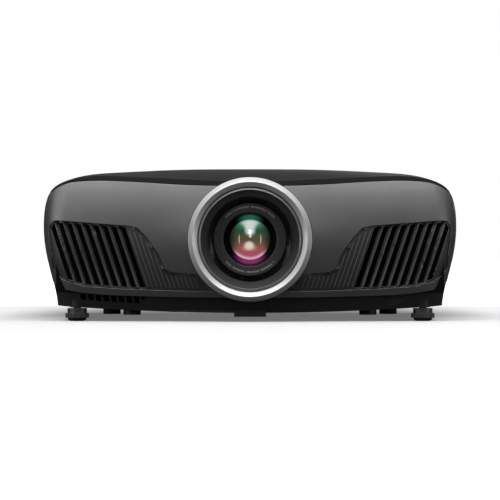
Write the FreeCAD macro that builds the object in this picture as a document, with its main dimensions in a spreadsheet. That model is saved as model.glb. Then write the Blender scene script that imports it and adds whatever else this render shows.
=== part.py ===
import FreeCAD, Part
import Sketcher
import os
import re
from math import cos, hypot, pi, radians, tan
from FreeCAD import Placement, Rotation, Vector

# Home projector. Millimetres, +Z up, the front looks along -Y, the origin lies under the middle of
# the object at the height of the feet.

doc = FreeCAD.newDocument("home_projector")
sheet = doc.addObject("Spreadsheet::Sheet", "Sizes")

SIZES = [
    # overall
    ("case_width", 520), ("rear_face", 225), ("front_face", -213.5), ("case_top", 192),
    ("case_bottom", 10.5), ("case_edge_rise", 8.5), ("widest_level", 120),
    ("sill_inset", 17), ("waist_inset", 11.2), ("shoulder_inset", 10), ("shoulder_drop", 27.7),
    ("brow_inset", 47.5), ("brow_drop", 9), ("crown_reach", 112.5), ("crown_drop", 1.5),
    ("front_slope_run", 95), ("front_slope_drop", 23), ("front_bow", 23.5), ("front_lean", 13),
    ("front_corner_radius", 34), ("rear_corner_radius", 22),
    ("rear_panel_left_inset", 84), ("rear_panel_right_inset", 54),
    ("wall_thickness", 2.6), ("panel_gap", 0.8), ("parting_level", 83.5),
    # front panel
    ("seam_level", 169), ("panel_return", 62), ("lip_level", 29.9),
    ("lip_setback", 9), ("lip_thickness", 2.5),
    ("opening_top", 126.7), ("opening_bottom", 37.8), ("opening_corner", 7),
    ("grille_rim", 2.2), ("grille_depth", 9), ("first_slot_reach", 146.5), ("blade_pitch", 11),
    ("blade_slant_degrees", 18.5), ("slot_width", 6.2),
    # lens opening
    ("lens_level", 102.5), ("ring_radius", 77.25), ("ring_ridge_radius", 71.2),
    ("ring_bore_radius", 65.4), ("ring_front", -225), ("ring_back", -184),
    ("funnel_radius", 64.6), ("funnel_mouth_radius", 61.4), ("funnel_throat_radius", 53),
    ("funnel_back", -196),
    ("shutter_thickness", 2), ("shutter_half_height", 56.5), ("shutter_width", 57),
    ("shutter_rest", 50.4),
    # lens
    ("bezel_radius", 46), ("glass_radius", 33.3), ("bezel_front", -171), ("bezel_back", -163),
    ("barrel_radius", 38), ("barrel_bore_radius", 34.6), ("barrel_front", -153),
    ("barrel_back", -64), ("sleeve_radius", 34.2), ("sleeve_bore_radius", 31),
    ("running_gap", 0.4), ("inner_glass_radius", 25.7),
    ("carriage_thickness", 6),
    # feet
    ("foot_side_inset", 42.5), ("foot_front_inset", 48.5), ("foot_neck_radius", 12.25),
    ("foot_knob_radius", 14.8), ("foot_knob_top", 9.75), ("foot_knob_bottom", 4),
    ("foot_screw_radius", 5), ("foot_screw_top", 54),
    ("foot_boss_radius", 9), ("foot_boss_top", 46), ("foot_flutes", 12),
    ("rear_foot_side_inset", 70), ("rear_foot_rear_inset", 60), ("rear_foot_radius", 12),
    # side doors and controls
    ("lamp_door_back", 100), ("lamp_door_front", -2), ("lamp_door_top", 152), ("door_foot", 86),
    ("filter_door_back", -42), ("filter_door_front", -138), ("filter_door_top", 150),
    ("control_back", -14), ("control_front", -134), ("control_top", 146), ("control_foot", 92),
    ("hinge_inset", 3.2), ("hinge_pin_radius", 0.7), ("hinge_pin_length", 1.2),
    ("control_plate_depth", 11), ("button_radius", 4),
    # mounts and screws
    ("bush_reach", 149), ("bush_front", -150), ("bush_back", 130), ("bush_bottom", 7.4),
    ("bush_radius", 11), ("bush_thread_radius", 2), ("bush_thread_depth", 12),
    ("screw_radius", 1.5), ("screw_head_radius", 3.2),
    # inside
    ("prism_side", 36), ("prism_back", 0), ("fan_side_inset", 91), ("fan_side", 92), ("fan_depth", 25),
    ("rotor_radius", 41), ("rotor_hub_radius", 17), ("rotor_gap", 1.5),
    ("board_thickness", 1.6), ("blower_side_inset", 100), ("lamp_height", 46),
    ("lamp_side_gap", 20), ("lamp_length", 96), ("lamp_width", 80),
]


def write_sizes():
    for row, (alias, number) in enumerate(SIZES, start=1):
        sheet.set("A%d" % row, alias)
        sheet.set("B%d" % row, str(number))
        sheet.setAlias("B%d" % row, alias)
    doc.recompute()


class Sizes:
    """Reads a size from the sheet by its name."""

    def __getattr__(self, alias):
        return float(sheet.get(alias))


S = Sizes()
write_sizes()
nodes = []


# ---------------------------------------------------------------- helpers

def formula(words):
    """Point every size name in a formula at the sheet."""
    return re.sub(r"\b([a-z]+(?:_[a-z]+)+)\b", r"Sizes.\1", str(words))


def bind(thing, field, words):
    thing.setExpression(field, formula(words))


def place(thing, x=None, y=None, z=None):
    """Place a piece by formulas along each axis."""
    for letter, words in (("x", x), ("y", y), ("z", z)):
        if words is not None:
            bind(thing, "Placement.Base." + letter, words)


def keep(thing, label=None):
    """Count a finished piece in as a node."""
    if label:
        thing.Label = label
    nodes.append(thing)
    return thing


def start_body(label):
    body = doc.addObject("PartDesign::Body", label)
    body.Label = label
    return body


PLANES = {"top": "XY_Plane", "front": "XZ_Plane", "side": "YZ_Plane"}


def start_sketch(body, view, level="0"):
    """A sketch on a body's own plane, moved along the row axis that the plane faces."""
    flat = body.newObject("Sketcher::SketchObject", body.Name + "_outline")
    plane = [f for f in body.Origin.OriginFeatures if f.Role == PLANES[view]][0]
    flat.AttachmentSupport = [(plane, "")]
    flat.MapMode = "FlatFace"
    turn = "-1 * " if view == "front" else ""
    bind(flat, "AttachmentOffset.Base.z", turn + "(" + str(level) + ")")
    return flat


def pin_point(flat, element, end, across, along):
    """Hold one point of a sketch at two formulas."""
    for kind, words, axis in (("DistanceX", across, -2), ("DistanceY", along, -1)):
        number = float(flat.evalExpression(formula(words)))
        if abs(number) < 1e-9:
            flat.addConstraint(Sketcher.Constraint("PointOnObject", element, end, axis))
            continue
        index = flat.addConstraint(Sketcher.Constraint(kind, -1, 1, element, end, number))
        bind(flat, "Constraints[%d]" % index, words)


def draw_outline(flat, corners):
    """Draw a closed outline of straight lines through corners given as formulas."""
    spots = [Vector(float(flat.evalExpression(formula(a))), float(flat.evalExpression(formula(b))), 0)
             for a, b in corners]
    first = flat.GeometryCount
    count = len(corners)
    for index in range(count):
        flat.addGeometry(Part.LineSegment(spots[index], spots[(index + 1) % count]))
    for index in range(count):
        follower = first + (index + 1) % count
        flat.addConstraint(Sketcher.Constraint("Coincident", first + index, 2, follower, 1))
    for index, (across, along) in enumerate(corners):
        pin_point(flat, first + index, 1, across, along)


def draw_box(flat, left, right, low, high):
    draw_outline(flat, [(left, low), (right, low), (right, high), (left, high)])


def draw_circle(flat, across, along, radius):
    middle = Vector(float(flat.evalExpression(formula(across))),
                    float(flat.evalExpression(formula(along))), 0)
    number = float(flat.evalExpression(formula(radius)))
    index = flat.addGeometry(Part.Circle(middle, Vector(0, 0, 1), number))
    pin_point(flat, index, 3, across, along)
    held = flat.addConstraint(Sketcher.Constraint("Radius", index, number))
    bind(flat, "Constraints[%d]" % held, radius)
    return index


def pad(body, view, start, end, draw):
    """Pad what draw() draws between two levels along the axis of the view."""
    flat = start_sketch(body, view, end if view == "front" else start)
    draw(flat)
    feature = body.newObject("PartDesign::Pad", body.Name + "_pad")
    feature.Profile = flat
    bind(feature, "Length", "(%s) - (%s)" % (end, start))
    body.Tip = feature
    return feature


def pocket(body, view, start, end, draw):
    """Cut what draw() draws between two levels along the axis of the view."""
    flat = start_sketch(body, view, start if view == "front" else end)
    draw(flat)
    feature = body.newObject("PartDesign::Pocket", body.Name + "_pocket")
    feature.Profile = flat
    bind(feature, "Length", "(%s) - (%s)" % (end, start))
    body.Tip = feature
    return feature


TURNING = {"Y": ("side", "H_Axis"), "Z": ("front", "V_Axis"), "X": ("front", "H_Axis")}


def turn_profile(body, corners, about="Y"):
    """Revolve an outline about one of the body's own axes.

    Corners are (along, out), or (out, up) about Z.
    """
    view, axis = TURNING[about]
    flat = start_sketch(body, view)
    draw_outline(flat, corners)
    feature = body.newObject("PartDesign::Revolution", body.Name + "_turned")
    feature.Profile = flat
    feature.ReferenceAxis = (flat, [axis])
    feature.Angle = 360
    body.Tip = feature
    return feature


def ring_pattern(body, features, count, axis_role):
    """Repeat features evenly around one of the body's own axes."""
    spread = body.newObject("PartDesign::PolarPattern", body.Name + "_pattern")
    spread.Originals = features
    spread.Axis = ([f for f in body.Origin.OriginFeatures if f.Role == axis_role][0], [""])
    spread.Angle = 360
    bind(spread, "Occurrences", count)
    body.Tip = spread
    return spread


def row_pattern(body, features, axis_role, length, count):
    """Repeat features evenly along one of the body's own axes."""
    spread = body.newObject("PartDesign::LinearPattern", body.Name + "_row")
    spread.Originals = features
    spread.Direction = ([f for f in body.Origin.OriginFeatures if f.Role == axis_role][0], [""])
    bind(spread, "Length", length)
    bind(spread, "Occurrences", count)
    body.Tip = spread
    return spread


def shaped(label, shape):
    """A piece whose shape no feature or primitive gives."""
    thing = doc.addObject("Part::Feature", label)
    thing.Label = label
    thing.Shape = shape
    return keep(thing)


def block(x_from, x_to, y_from, y_to, z_from, z_to):
    return Part.makeBox(x_to - x_from, y_to - y_from, z_to - z_from, Vector(x_from, y_from, z_from))


def rod(radius, length, base, along):
    return Part.makeCylinder(radius, length, base, along)


def mirrored(shape):
    return shape.mirror(Vector(0, 0, 0), Vector(1, 0, 0))


def slab_of(points, depth, radius=0):
    """A slab of a straight-sided front outline from y = -260 back by depth, corners rounded."""
    wire = Part.makePolygon([Vector(x, -260, z) for x, z in points + points[:1]])
    slab = Part.Face(wire).extrude(Vector(0, depth, 0))
    if radius:
        upright = [e for e in slab.Edges if abs(e.tangentAt(e.FirstParameter).y) > 0.9]
        slab = slab.makeFillet(radius, upright)
    return slab


# ---------------------------------------------------------------- the form of the case

def side_points(inset):
    """The right half of the front outline from the sill up to the crown, moved inwards by inset."""
    half = S.case_width / 2
    top = S.case_top
    points = [
        (half - S.sill_inset, S.case_bottom + S.case_edge_rise),
        (half - S.waist_inset, S.case_bottom + S.case_edge_rise + 33),
        (half - 2.6, S.widest_level - 31),
        (half, S.widest_level),
        (half - 3.7, top - 40.2),
        (half - S.shoulder_inset, top - S.shoulder_drop),
        (half - S.brow_inset / 2, top - 17.2),
        (half - S.brow_inset, top - S.brow_drop),
        (half - 1.5 * S.brow_inset - 26, top - 4),
        (S.crown_reach, top - S.crown_drop),
    ]
    moved = []
    for index, (x, z) in enumerate(points):
        before = points[max(index - 1, 0)]
        after = points[min(index + 1, len(points) - 1)]
        run = hypot(after[0] - before[0], after[1] - before[1])
        moved.append((x - inset * (after[1] - before[1]) / run,
                      z + inset * (after[0] - before[0]) / run))
    return moved


def top_drop(y):
    """How far the crown lies below the crest at a depth; the front slopes down as an arc."""
    crest = S.front_face + S.front_slope_run
    if y >= crest:
        return 5.0 * ((y - crest) / (S.rear_face - crest)) ** 2
    radius = (S.front_slope_run ** 2 + S.front_slope_drop ** 2) / (2 * S.front_slope_drop)
    return radius - (radius ** 2 - (crest - y) ** 2) ** 0.5


def cross_section(y, inset):
    """One closed front outline of the case at a depth."""
    half = S.case_width / 2
    drop = top_drop(y)
    right = []
    for x, z in side_points(inset):
        share = 1 - (x / half) ** 2
        lift = max(z - S.widest_level, 0) / (S.case_top - S.widest_level)
        right.append(Vector(x, y, z - drop * max(share, 0.0) * lift))
    crown = Vector(0, y, S.case_top - inset - drop)
    left = [Vector(-p.x, p.y, p.z) for p in reversed(right)]
    curve = Part.BSplineCurve()
    curve.interpolate(right + [crown] + left)
    belly = Part.Arc(left[-1], Vector(0, y, S.case_bottom + inset), right[0])
    return Part.Wire([curve.toShape(), belly.toShape()])


def half_width_at(z):
    """The side's reach at a height, read along the straight runs between its points."""
    points = side_points(0)[:5]
    if z <= points[0][1]:
        return points[0][0]
    for low, high in zip(points, points[1:]):
        if z <= high[1]:
            return low[0] + (high[0] - low[0]) * (z - low[1]) / (high[1] - low[1])
    return points[-1][0]


def plan_section(z, inset, front_shift):
    """One closed plan outline at a height: bowed front, straight sides, rounded corners."""
    half = half_width_at(z) + 0.3 - inset
    lean_level = 95.0
    lean = S.front_lean * ((z - lean_level) / (170.0 - lean_level)) ** 2
    front = S.front_face + front_shift + lean + inset
    rear = S.rear_face - inset
    a = S.front_corner_radius - inset
    b = S.rear_corner_radius - inset
    bow_reach = S.case_width / 2 - 20
    bow_radius = (bow_reach ** 2 + S.front_bow ** 2) / (2 * S.front_bow)
    bow_middle = front + bow_radius
    # the corner circle touches the bow from inside and the side line
    corner_middle = bow_middle - ((bow_radius - a) ** 2 - (half - a) ** 2) ** 0.5
    reach = bow_radius / (bow_radius - a)
    touch = Vector((half - a) * reach, bow_middle + (corner_middle - bow_middle) * reach, z)
    aim = Vector(touch.x - (half - a), touch.y - corner_middle, 0)
    middle_way = Vector(aim.x + a, aim.y, 0).normalize() * a
    bend = Vector(half - a + middle_way.x, corner_middle + middle_way.y, z)
    step = b * (1 - cos(pi / 4))
    side_end = rear - b
    rear_end = half - b
    right_bend = Vector(half - step, rear - step, z)
    left_bend = Vector(step - half, rear - step, z)
    flip = [Vector(-p.x, p.y, p.z) for p in (touch, bend)]
    pieces = [
        Part.Arc(flip[0], Vector(0, front, z), touch),
        Part.Arc(touch, bend, Vector(half, corner_middle, z)),
        Part.LineSegment(Vector(half, corner_middle, z), Vector(half, side_end, z)),
        Part.Arc(Vector(half, side_end, z), right_bend, Vector(rear_end, rear, z)),
        Part.LineSegment(Vector(rear_end, rear, z), Vector(-rear_end, rear, z)),
        Part.Arc(Vector(-rear_end, rear, z), left_bend, Vector(-half, side_end, z)),
        Part.LineSegment(Vector(-half, side_end, z), Vector(-half, corner_middle, z)),
        Part.Arc(Vector(-half, corner_middle, z), flip[1], flip[0]),
    ]
    return Part.Wire([piece.toShape() for piece in pieces])


def case_form(inset, front_shift=0.0):
    """The solid form of the case, shrunk by inset on every side."""
    first = S.front_face - 12
    step = (S.front_slope_run + 12) / 2
    count = int((S.rear_face - first) / step) + 2
    depths = [first + step * index for index in range(count)]
    long_way = Part.makeLoft([cross_section(y, inset) for y in depths], True, False)
    levels = [2.0, 45.0, 85.0, S.widest_level, 160.0, 205.0]
    upright = Part.makeLoft([plan_section(z, inset, front_shift) for z in levels], True, False)
    return long_way.common(upright)


def front_region(grow=0.0):
    """The front-view area the front panel takes: the seam above, the lip's lower edge below."""
    half = S.case_width / 2
    seam = S.seam_level + grow
    lip = S.lip_level - grow
    upper = [(half + 20, seam - 17), (half - 4.2, seam - 11), (half - 22.5, seam + 0.5),
             (half - 48, seam + 6), (half - 99, seam + 6), (126, seam + 4), (82, seam + 1.2), (0, seam)]
    lower = [(half + 20, S.parting_level - 0.5 * grow - 1), (half - 7, lip + 34),
             (half - 11.3, lip + 21), (half - 20, lip + 13.1), (half - 37.6, lip + 7.9),
             (half - 64, lip + 4.4), (half - 108, lip + 2.1), (82, lip + 0.3), (0, lip)]
    up = [Vector(x, -260, z) for x, z in upper]
    down = [Vector(x, -260, z) for x, z in lower]
    top = Part.BSplineCurve()
    top.interpolate(up + [Vector(-p.x, p.y, p.z) for p in reversed(up[:-1])])
    foot = Part.BSplineCurve()
    foot.interpolate(down + [Vector(-p.x, p.y, p.z) for p in reversed(down[:-1])])
    right = Part.LineSegment(up[0], down[0])
    left_ends = [Vector(-p.x, p.y, p.z) for p in (up[0], down[0])]
    left = Part.LineSegment(*left_ends)
    wire = Part.Wire(Part.__sortEdges__([c.toShape() for c in (top, foot, right, left)]))
    depth = 260 + S.front_face + S.panel_return + grow
    return Part.Face(wire).extrude(Vector(0, depth, 0))


def grille_outline(shrink=0.0):
    """The left grille's opening as front-view corners, moved inwards by shrink."""
    half = S.case_width / 2
    corners = [(13.7 - half, S.opening_top), (-152.5, S.opening_top - 7.2), (-140, S.opening_top - 9.6),
               (-128.6, S.opening_top - 21.6), (-113.5, S.opening_top - 43),
               (-106.0, S.opening_top - 61.5), (-98, S.opening_top - 65),
               (-40, S.opening_top - 70), (-40, S.opening_bottom),
               (-71.5, S.opening_bottom), (103 - half, S.opening_bottom + 2.8),
               (51 - half, S.opening_bottom + 6.2), (26.2 - half, S.opening_bottom + 13.8),
               (12.7 - half, S.opening_bottom + 28.2), (7.6 - half, S.opening_bottom + 79.8)]
    if not shrink:
        return corners
    wire = Part.makePolygon([Vector(x, z, 0) for x, z in corners + corners[:1]])
    inner = Part.Face(wire).makeOffset2D(-shrink, 2)
    return [(v.X, v.Y) for v in inner.OuterWire.OrderedVertexes]


def ring_hole(radius, y_from, y_to):
    return rod(radius, y_to - y_from, Vector(0, y_from, S.lens_level), Vector(0, 1, 0))



# ---------------------------------------------------------------- shells

def grille_opening(shrink=0.0):
    """Both openings' front-view slabs."""
    left = slab_of(grille_outline(shrink), 95, max(S.opening_corner - shrink, 1.0))
    return left, mirrored(left)


def make_shells():
    """The shells of the case with their openings, the doors cut from the same skin, the rear panel."""
    outer = case_form(0.0)
    inner = case_form(S.wall_thickness)
    skin = outer.cut(inner)
    hole = ring_hole(S.ring_radius + S.panel_gap, -260, S.ring_back + 1)
    region = front_region()
    grown = front_region(S.panel_gap)

    # front panel: the skin inside its region, with a floor under the lip that reaches back
    panel = skin.common(region)
    lip_floor = outer.common(region.cut(region.translated(Vector(0, 0, S.lip_thickness))))
    lip_floor = lip_floor.common(block(-300, 300, -260, S.front_face + 26, 0, 80))
    panel = panel.fuse(lip_floor).cut(hole)
    for opening in grille_opening():
        panel = panel.cut(opening)
    panel = panel.fuse(panel_strap()).removeSplitter()

    # upper case: everything above the parting line that the panel leaves
    above = block(-300, 300, -260, 260, S.parting_level, 230)
    upper = skin.common(above).cut(grown).cut(hole)

    # lower case: its front is set back under the lip
    lower_outer = case_form(0.0, S.lip_setback)
    lower_inner = case_form(S.wall_thickness, S.lip_setback)
    below = block(-300, 300, -260, 260, 0, S.parting_level - 0.6)
    lower = lower_outer.cut(lower_inner).common(below).cut(grown).cut(hole)

    # doors and covers are pieces of the skin, a gap smaller than their openings
    for label, side, front, back, low, high in door_frames():
        reach = sorted((side * 200, side * 300))
        upper = upper.cut(block(reach[0], reach[1], front, back, low, high))
        gap = S.panel_gap / 2
        door = skin.common(block(reach[0], reach[1], front + gap, back - gap, low + gap, high - gap))
        if label == "filter_door":
            door = with_knob_seat(door)
        if label == "control_cover":
            door = with_hinge(door)
            upper = upper.cut(hinge_rod(S.hinge_pin_radius + 0.1, S.hinge_pin_length + 0.8))
        shaped(label, door)

    # the rear panel fills an opening that runs across the parting line
    left, right = panel_ends()
    window = block(left, right, S.rear_face - 12, S.rear_face + 5, 66, 126)
    upper = upper.cut(window)
    lower = lower.cut(window)
    rear = skin.common(block(left + 0.6, right - 0.6, S.rear_face - 12, S.rear_face + 5, 66.6, 125.4))
    for x, half, high in socket_places():
        hole_for = socket_body(x, half, high, 1.4, S.rear_face - 25)
        rear = rear.cut(hole_for.fuse(hole_for.translated(Vector(0, 2, 0))))
    rear = rear.cut(block(right - 45.2, right - 14.8, S.rear_face - 25, S.rear_face + 5, 82.8, 107.2))
    rear = rear.cut(rod(7.2, 30, Vector(left + 16, S.rear_face - 25, 104), Vector(0, 1, 0)))

    shaped("front_panel", panel)
    shaped("upper_case", upper)
    shaped("lower_case", finish_lower_case(lower))
    shaped("rear_panel", rear)


def panel_ends():
    """How far the rear panel's opening reaches to the left and right."""
    half = S.case_width / 2
    return S.rear_panel_left_inset - half, half - S.rear_panel_right_inset


def door_frames():
    """Label, side of the case, and the front, back, foot and top of each opening in its side wall."""
    return [
        ("lamp_door", -1, S.lamp_door_front, S.lamp_door_back, S.door_foot, S.lamp_door_top),
        ("control_cover", -1, S.control_front, S.control_back, S.control_foot, S.control_top),
        ("filter_door", 1, S.filter_door_front, S.filter_door_back, S.door_foot, S.filter_door_top),
    ]


def knob_spot():
    return Vector(0, S.filter_door_front + 20, S.door_foot + 10.5)


def with_knob_seat(door):
    """A round flat-bottomed recess and a shaft hole for the latch knob."""
    seat = rod(9.8, 20, knob_spot() + Vector(S.case_width / 2 - 2.8, 0, 0), Vector(1, 0, 0))
    shaft = rod(3.4, 40, knob_spot() + Vector(S.case_width / 2 - 20, 0, 0), Vector(1, 0, 0))
    return door.cut(seat).cut(shaft)


def hinge_rod(radius, beyond):
    """A rod on the hinge axis of the control cover, reaching past the cover's ends."""
    spot = Vector(S.hinge_inset - S.case_width / 2, S.control_front - beyond, S.control_foot + 1.65)
    return rod(radius, S.control_back - S.control_front + 2 * beyond, spot, Vector(0, 1, 0))


def with_hinge(door):
    """The cover's lower edge is a round bead on the hinge axis with a pin at each end."""
    low = S.control_foot + 1.65
    far = S.case_width / 2 + 10
    door = door.cut(block(-far, 0, S.control_front, S.control_back, 0, low))
    bead = hinge_rod(1.25, -S.panel_gap / 2)
    return door.fuse(bead).fuse(hinge_rod(S.hinge_pin_radius, S.hinge_pin_length)).removeSplitter()


def filter_knob():
    """The latch knob of the filter door: a grooved head outside, a shaft and a dog inside."""
    face = S.case_width / 2 - 2.5
    spot = knob_spot()
    head = rod(9.2, 2.3, spot + Vector(face, 0, 0), Vector(1, 0, 0))
    grip = block(face + 1.2, face + 4, spot.y - 8, spot.y - 1.5, spot.z - 6.5, spot.z + 6.5)
    other = block(face + 1.2, face + 4, spot.y + 1.5, spot.y + 8, spot.z - 6.5, spot.z + 6.5)
    shaft = rod(3.0, 8.5, spot + Vector(face - 8, 0, 0), Vector(1, 0, 0))
    dog = block(face - 8, face - 5.4, spot.y - 3.0, spot.y + 3.0, spot.z - 3.0, spot.z + 10)
    shaped("filter_knob", head.cut(grip).cut(other).fuse(shaft).fuse(dog).removeSplitter())


def panel_strap():
    """The bridge behind the trim ring that holds the two halves of the panel together."""
    low = S.lens_level + S.shutter_half_height + 5.4
    high = low + 4
    back = S.ring_back + 3
    clear = S.ring_radius + S.panel_gap + 0.5
    near = (clear ** 2 - (low - 1.0 - S.lens_level) ** 2) ** 0.5
    strap = block(-near - 8, near + 8, back - 2.2, back, low, high)
    leg = block(near, near + 8, S.front_face + 14.5, back, low - 1.0, high)
    return strap.fuse(leg).fuse(mirrored(leg))


def finish_lower_case(lower):
    """Bosses, pads, the blocks under the front, the vent and the finger recess."""
    up = Vector(0, 0, 1)
    half = S.case_width / 2
    for side in (-1, 1):
        spot = Vector(side * (half - S.foot_side_inset), S.front_face + S.foot_front_inset, 17)
        lower = lower.fuse(rod(S.foot_boss_radius, S.foot_boss_top - 17, spot, up))
        lower = lower.cut(rod(S.foot_screw_radius + 0.3, 60, spot - Vector(0, 0, 5), up))
        pad_reach = side * (half - S.rear_foot_side_inset)
        pad_spot = Vector(pad_reach, S.rear_face - S.rear_foot_rear_inset, 8)
        lower = lower.fuse(rod(S.rear_foot_radius + 1.5, 10.5, pad_spot, up))
        for depth in (S.bush_front, S.bush_back):
            spot = Vector(side * S.bush_reach, depth, S.bush_bottom)
            lower = lower.fuse(rod(S.bush_radius, 22 - S.bush_bottom, spot, up))
            lower = lower.cut(rod(S.bush_thread_radius + 2, S.bush_thread_depth, spot, up))
    for x, y in screw_spots():
        low = floor_level(x)
        lower = lower.fuse(rod(5.0, 16.5, Vector(x, y, low + 1), up))
        lower = lower.cut(rod(S.screw_head_radius + 0.2, 4.6, Vector(x, y, low - 2), up))
        lower = lower.cut(rod(S.screw_radius + 0.05, 15, Vector(x, y, low), up))
    front = S.front_face + S.lip_setback
    for left, right, low in ((-101, -20, 11.7), (-20, 20, 5.75), (20, 37, 13)):
        lower = lower.fuse(block(left, right, front + 14, front + 46, low, 13.6))
    # vent: slanted slots between thin bars
    wide = [(41 - half, 34.4), (130 - half, 31.0), (122.5 - half, 22.0), (49 - half, 26.6)]
    window = slab_of(wide, 95)
    slots = []
    for index in range(9):
        x = 46.5 - half + 9.6 * index
        slots.append(slab_of([(x, 38), (x + 6.8, 38), (x + 9.2, 18), (x + 2.4, 18)], 95).common(window))
    for slot in slots:
        lower = lower.cut(slot)
    # finger recess: an opening backed by a curved cup
    mouth = [(half - 97.6, 34.0), (half - 87.7, 20.0), (half - 47.9, 23.0), (half - 37.9, 36.4)]
    grown = [(x + (2 if x > half - 70 else -2), z + (2 if z > 30 else -2)) for x, z in mouth]
    cup_outer = slab_of(grown, 84)
    cup_inner = slab_of(mouth, 82)
    wall = case_form(0.4, S.lip_setback)
    lower = lower.fuse(cup_outer.common(wall)).cut(cup_inner)
    return lower.removeSplitter()


# ---------------------------------------------------------------- grilles

def blade_edge(level, index, spread):
    """Where a slanted slot's edge lies at a height, for the left grille."""
    slant = tan(radians(S.blade_slant_degrees))
    base = -S.first_slot_reach - S.blade_pitch * index
    return base - slant * (level - 82.0) + spread


def louvre_grille():
    """The left grille: a plate that follows the panel, slotted between slanted blades."""
    layer = case_form(1.0).cut(case_form(1.0 + S.grille_depth))
    left_slab = grille_opening(0.6)[0]
    plate = layer.common(left_slab)
    rim = grille_opening(0.6 + S.grille_rim)[0]
    reach = S.case_width / 2 - 7.6 - S.first_slot_reach
    for index in range(int(reach / S.blade_pitch)):
        half = S.slot_width / 2
        low, high = S.opening_bottom - 2, S.opening_top + 4
        corners = [(low, -half), (low, half), (high, half), (high, -half)]
        slot = slab_of([(blade_edge(level, index, edge), level) for level, edge in corners], 95)
        plate = plate.cut(slot.common(rim))
    plate = plate.cut(ring_hole(S.ring_radius + S.panel_gap, -260, -100))
    shaped("left_louvre_grille", plate)
    shaped("right_louvre_grille", mirrored(plate))


# ---------------------------------------------------------------- lens opening

def lens_trim_ring():
    body = start_body("lens_trim_ring")
    turn_profile(body, [
        ("ring_back", "ring_radius"), ("ring_front + 8", "ring_radius"),
        ("ring_front", "ring_ridge_radius"), ("ring_front + 4", "ring_bore_radius"),
        ("ring_front + 22", "ring_bore_radius"), ("ring_front + 22", "ring_radius - 3.6"),
        ("ring_back", "ring_radius - 3.6")])
    place(body, z="lens_level")
    keep(body)


def lens_funnel():
    body = start_body("lens_funnel")
    turn_profile(body, [
        ("ring_back - 0.8", "funnel_throat_radius"), ("funnel_back", "funnel_throat_radius"),
        ("ring_front + 5.5", "funnel_mouth_radius"), ("ring_front + 4", "funnel_mouth_radius + 1"),
        ("ring_front + 4", "funnel_radius"), ("ring_front + 23.5", "funnel_radius"),
        ("ring_front + 23.5", "ring_radius - 4"), ("ring_front + 25.5", "ring_radius - 4"),
        ("ring_front + 25.5", "funnel_throat_radius + 4"),
        ("ring_back - 0.8", "funnel_throat_radius + 2")])
    place(body, z="lens_level")
    keep(body)


def shutter_track():
    body = start_body("shutter_track")
    end = "shutter_rest + shutter_width + 2.6"
    near, far = "-1 * (%s) - 2" % end, "%s + 2" % end
    pad(body, "front", "ring_back + 6", "ring_back + 8", lambda flat: (
        draw_box(flat, near, far, "-shutter_half_height - 5", "shutter_half_height + 5"),
        draw_circle(flat, "0", "0", "funnel_throat_radius + 1.5")))
    for side in ("1", "-1"):
        inner = "%s * (shutter_half_height + 0.4)" % side
        outer = "%s * (shutter_half_height + 4)" % side
        low, high = (inner, outer) if side == "1" else (outer, inner)
        pad(body, "front", "ring_back + 0.6", "ring_back + 6.2",
            lambda flat: draw_box(flat, "-1 * (%s)" % end, end, low, high))
    place(body, z="lens_level")
    keep(body)


def shutter(label, side):
    """One of the two sliding shutter halves, drawn back to the side of the lens opening."""
    body = start_body(label)
    near, far = "shutter_rest", "shutter_rest + shutter_width"
    edges = (near, far) if side > 0 else ("-1 * (%s)" % far, "-1 * (%s)" % near)
    pad(body, "front", "ring_back + 1.6", "ring_back + 1.6 + shutter_thickness",
        lambda flat: draw_box(flat, edges[0], edges[1], "-shutter_half_height", "shutter_half_height"))
    place(body, z="lens_level")
    keep(body)


# ---------------------------------------------------------------- lens

def front_lens_cell():
    body = start_body("front_lens_cell")
    turn_profile(body, [
        ("bezel_front", "bezel_radius"), ("bezel_back", "bezel_radius"),
        ("bezel_back", "sleeve_radius"), ("bezel_back + 34", "sleeve_radius"),
        ("bezel_back + 34", "sleeve_bore_radius"),
        ("bezel_back + 2.5", "sleeve_bore_radius"), ("bezel_back + 2.5", "glass_radius"),
        ("bezel_front + 3.6", "glass_radius"), ("bezel_front", "bezel_radius - 1")])
    place(body, z="lens_level")
    keep(body)


def lens_element(label, radius, front, back, bulge):
    """A plano-convex element: the part of a ball that stands in front of a flat back."""
    disc = doc.addObject("Part::Cylinder", label + "_edge")
    bind(disc, "Radius", radius)
    bind(disc, "Height", "(%s) - (%s)" % (back, front))
    disc.Placement = Placement(Vector(0, 0, 0), Rotation(Vector(1, 0, 0), 90))
    place(disc, y=back)
    ball = doc.addObject("Part::Sphere", label + "_face")
    bind(ball, "Radius", bulge)
    place(ball, y="(%s) + (%s)" % (front, bulge))
    both = doc.addObject("Part::MultiCommon", label)
    both.Shapes = [ball, disc]
    place(both, z="lens_level")
    keep(both, label)


def lens_barrel():
    body = start_body("lens_barrel")
    turn_profile(body, [
        ("barrel_front", "barrel_bore_radius"), ("barrel_front", "barrel_radius"),
        ("barrel_back - 6", "barrel_radius"), ("barrel_back - 6", "barrel_radius + 8"),
        ("barrel_back", "barrel_radius + 8"), ("barrel_back", "barrel_bore_radius")])
    place(body, z="lens_level")
    keep(body)


def knurled_ring(label, front, length, radius, teeth):
    """A turning ring with cut grooves around its rim."""
    body = start_body(label)
    bore = "barrel_radius + running_gap"
    turn_profile(body, [(front, bore), (front, radius), ("%s + %s" % (front, length), radius),
                        ("%s + %s" % (front, length), bore)])
    cut = pocket(body, "front", "%s - 1" % front, "%s + %s + 1" % (front, length),
                 lambda flat: draw_box(flat, "-0.8", "0.8", "%s - 1.2" % radius, "%s + 2" % radius))
    ring_pattern(body, [cut], teeth, "Y_Axis")
    place(body, z="lens_level")
    keep(body)


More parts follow.
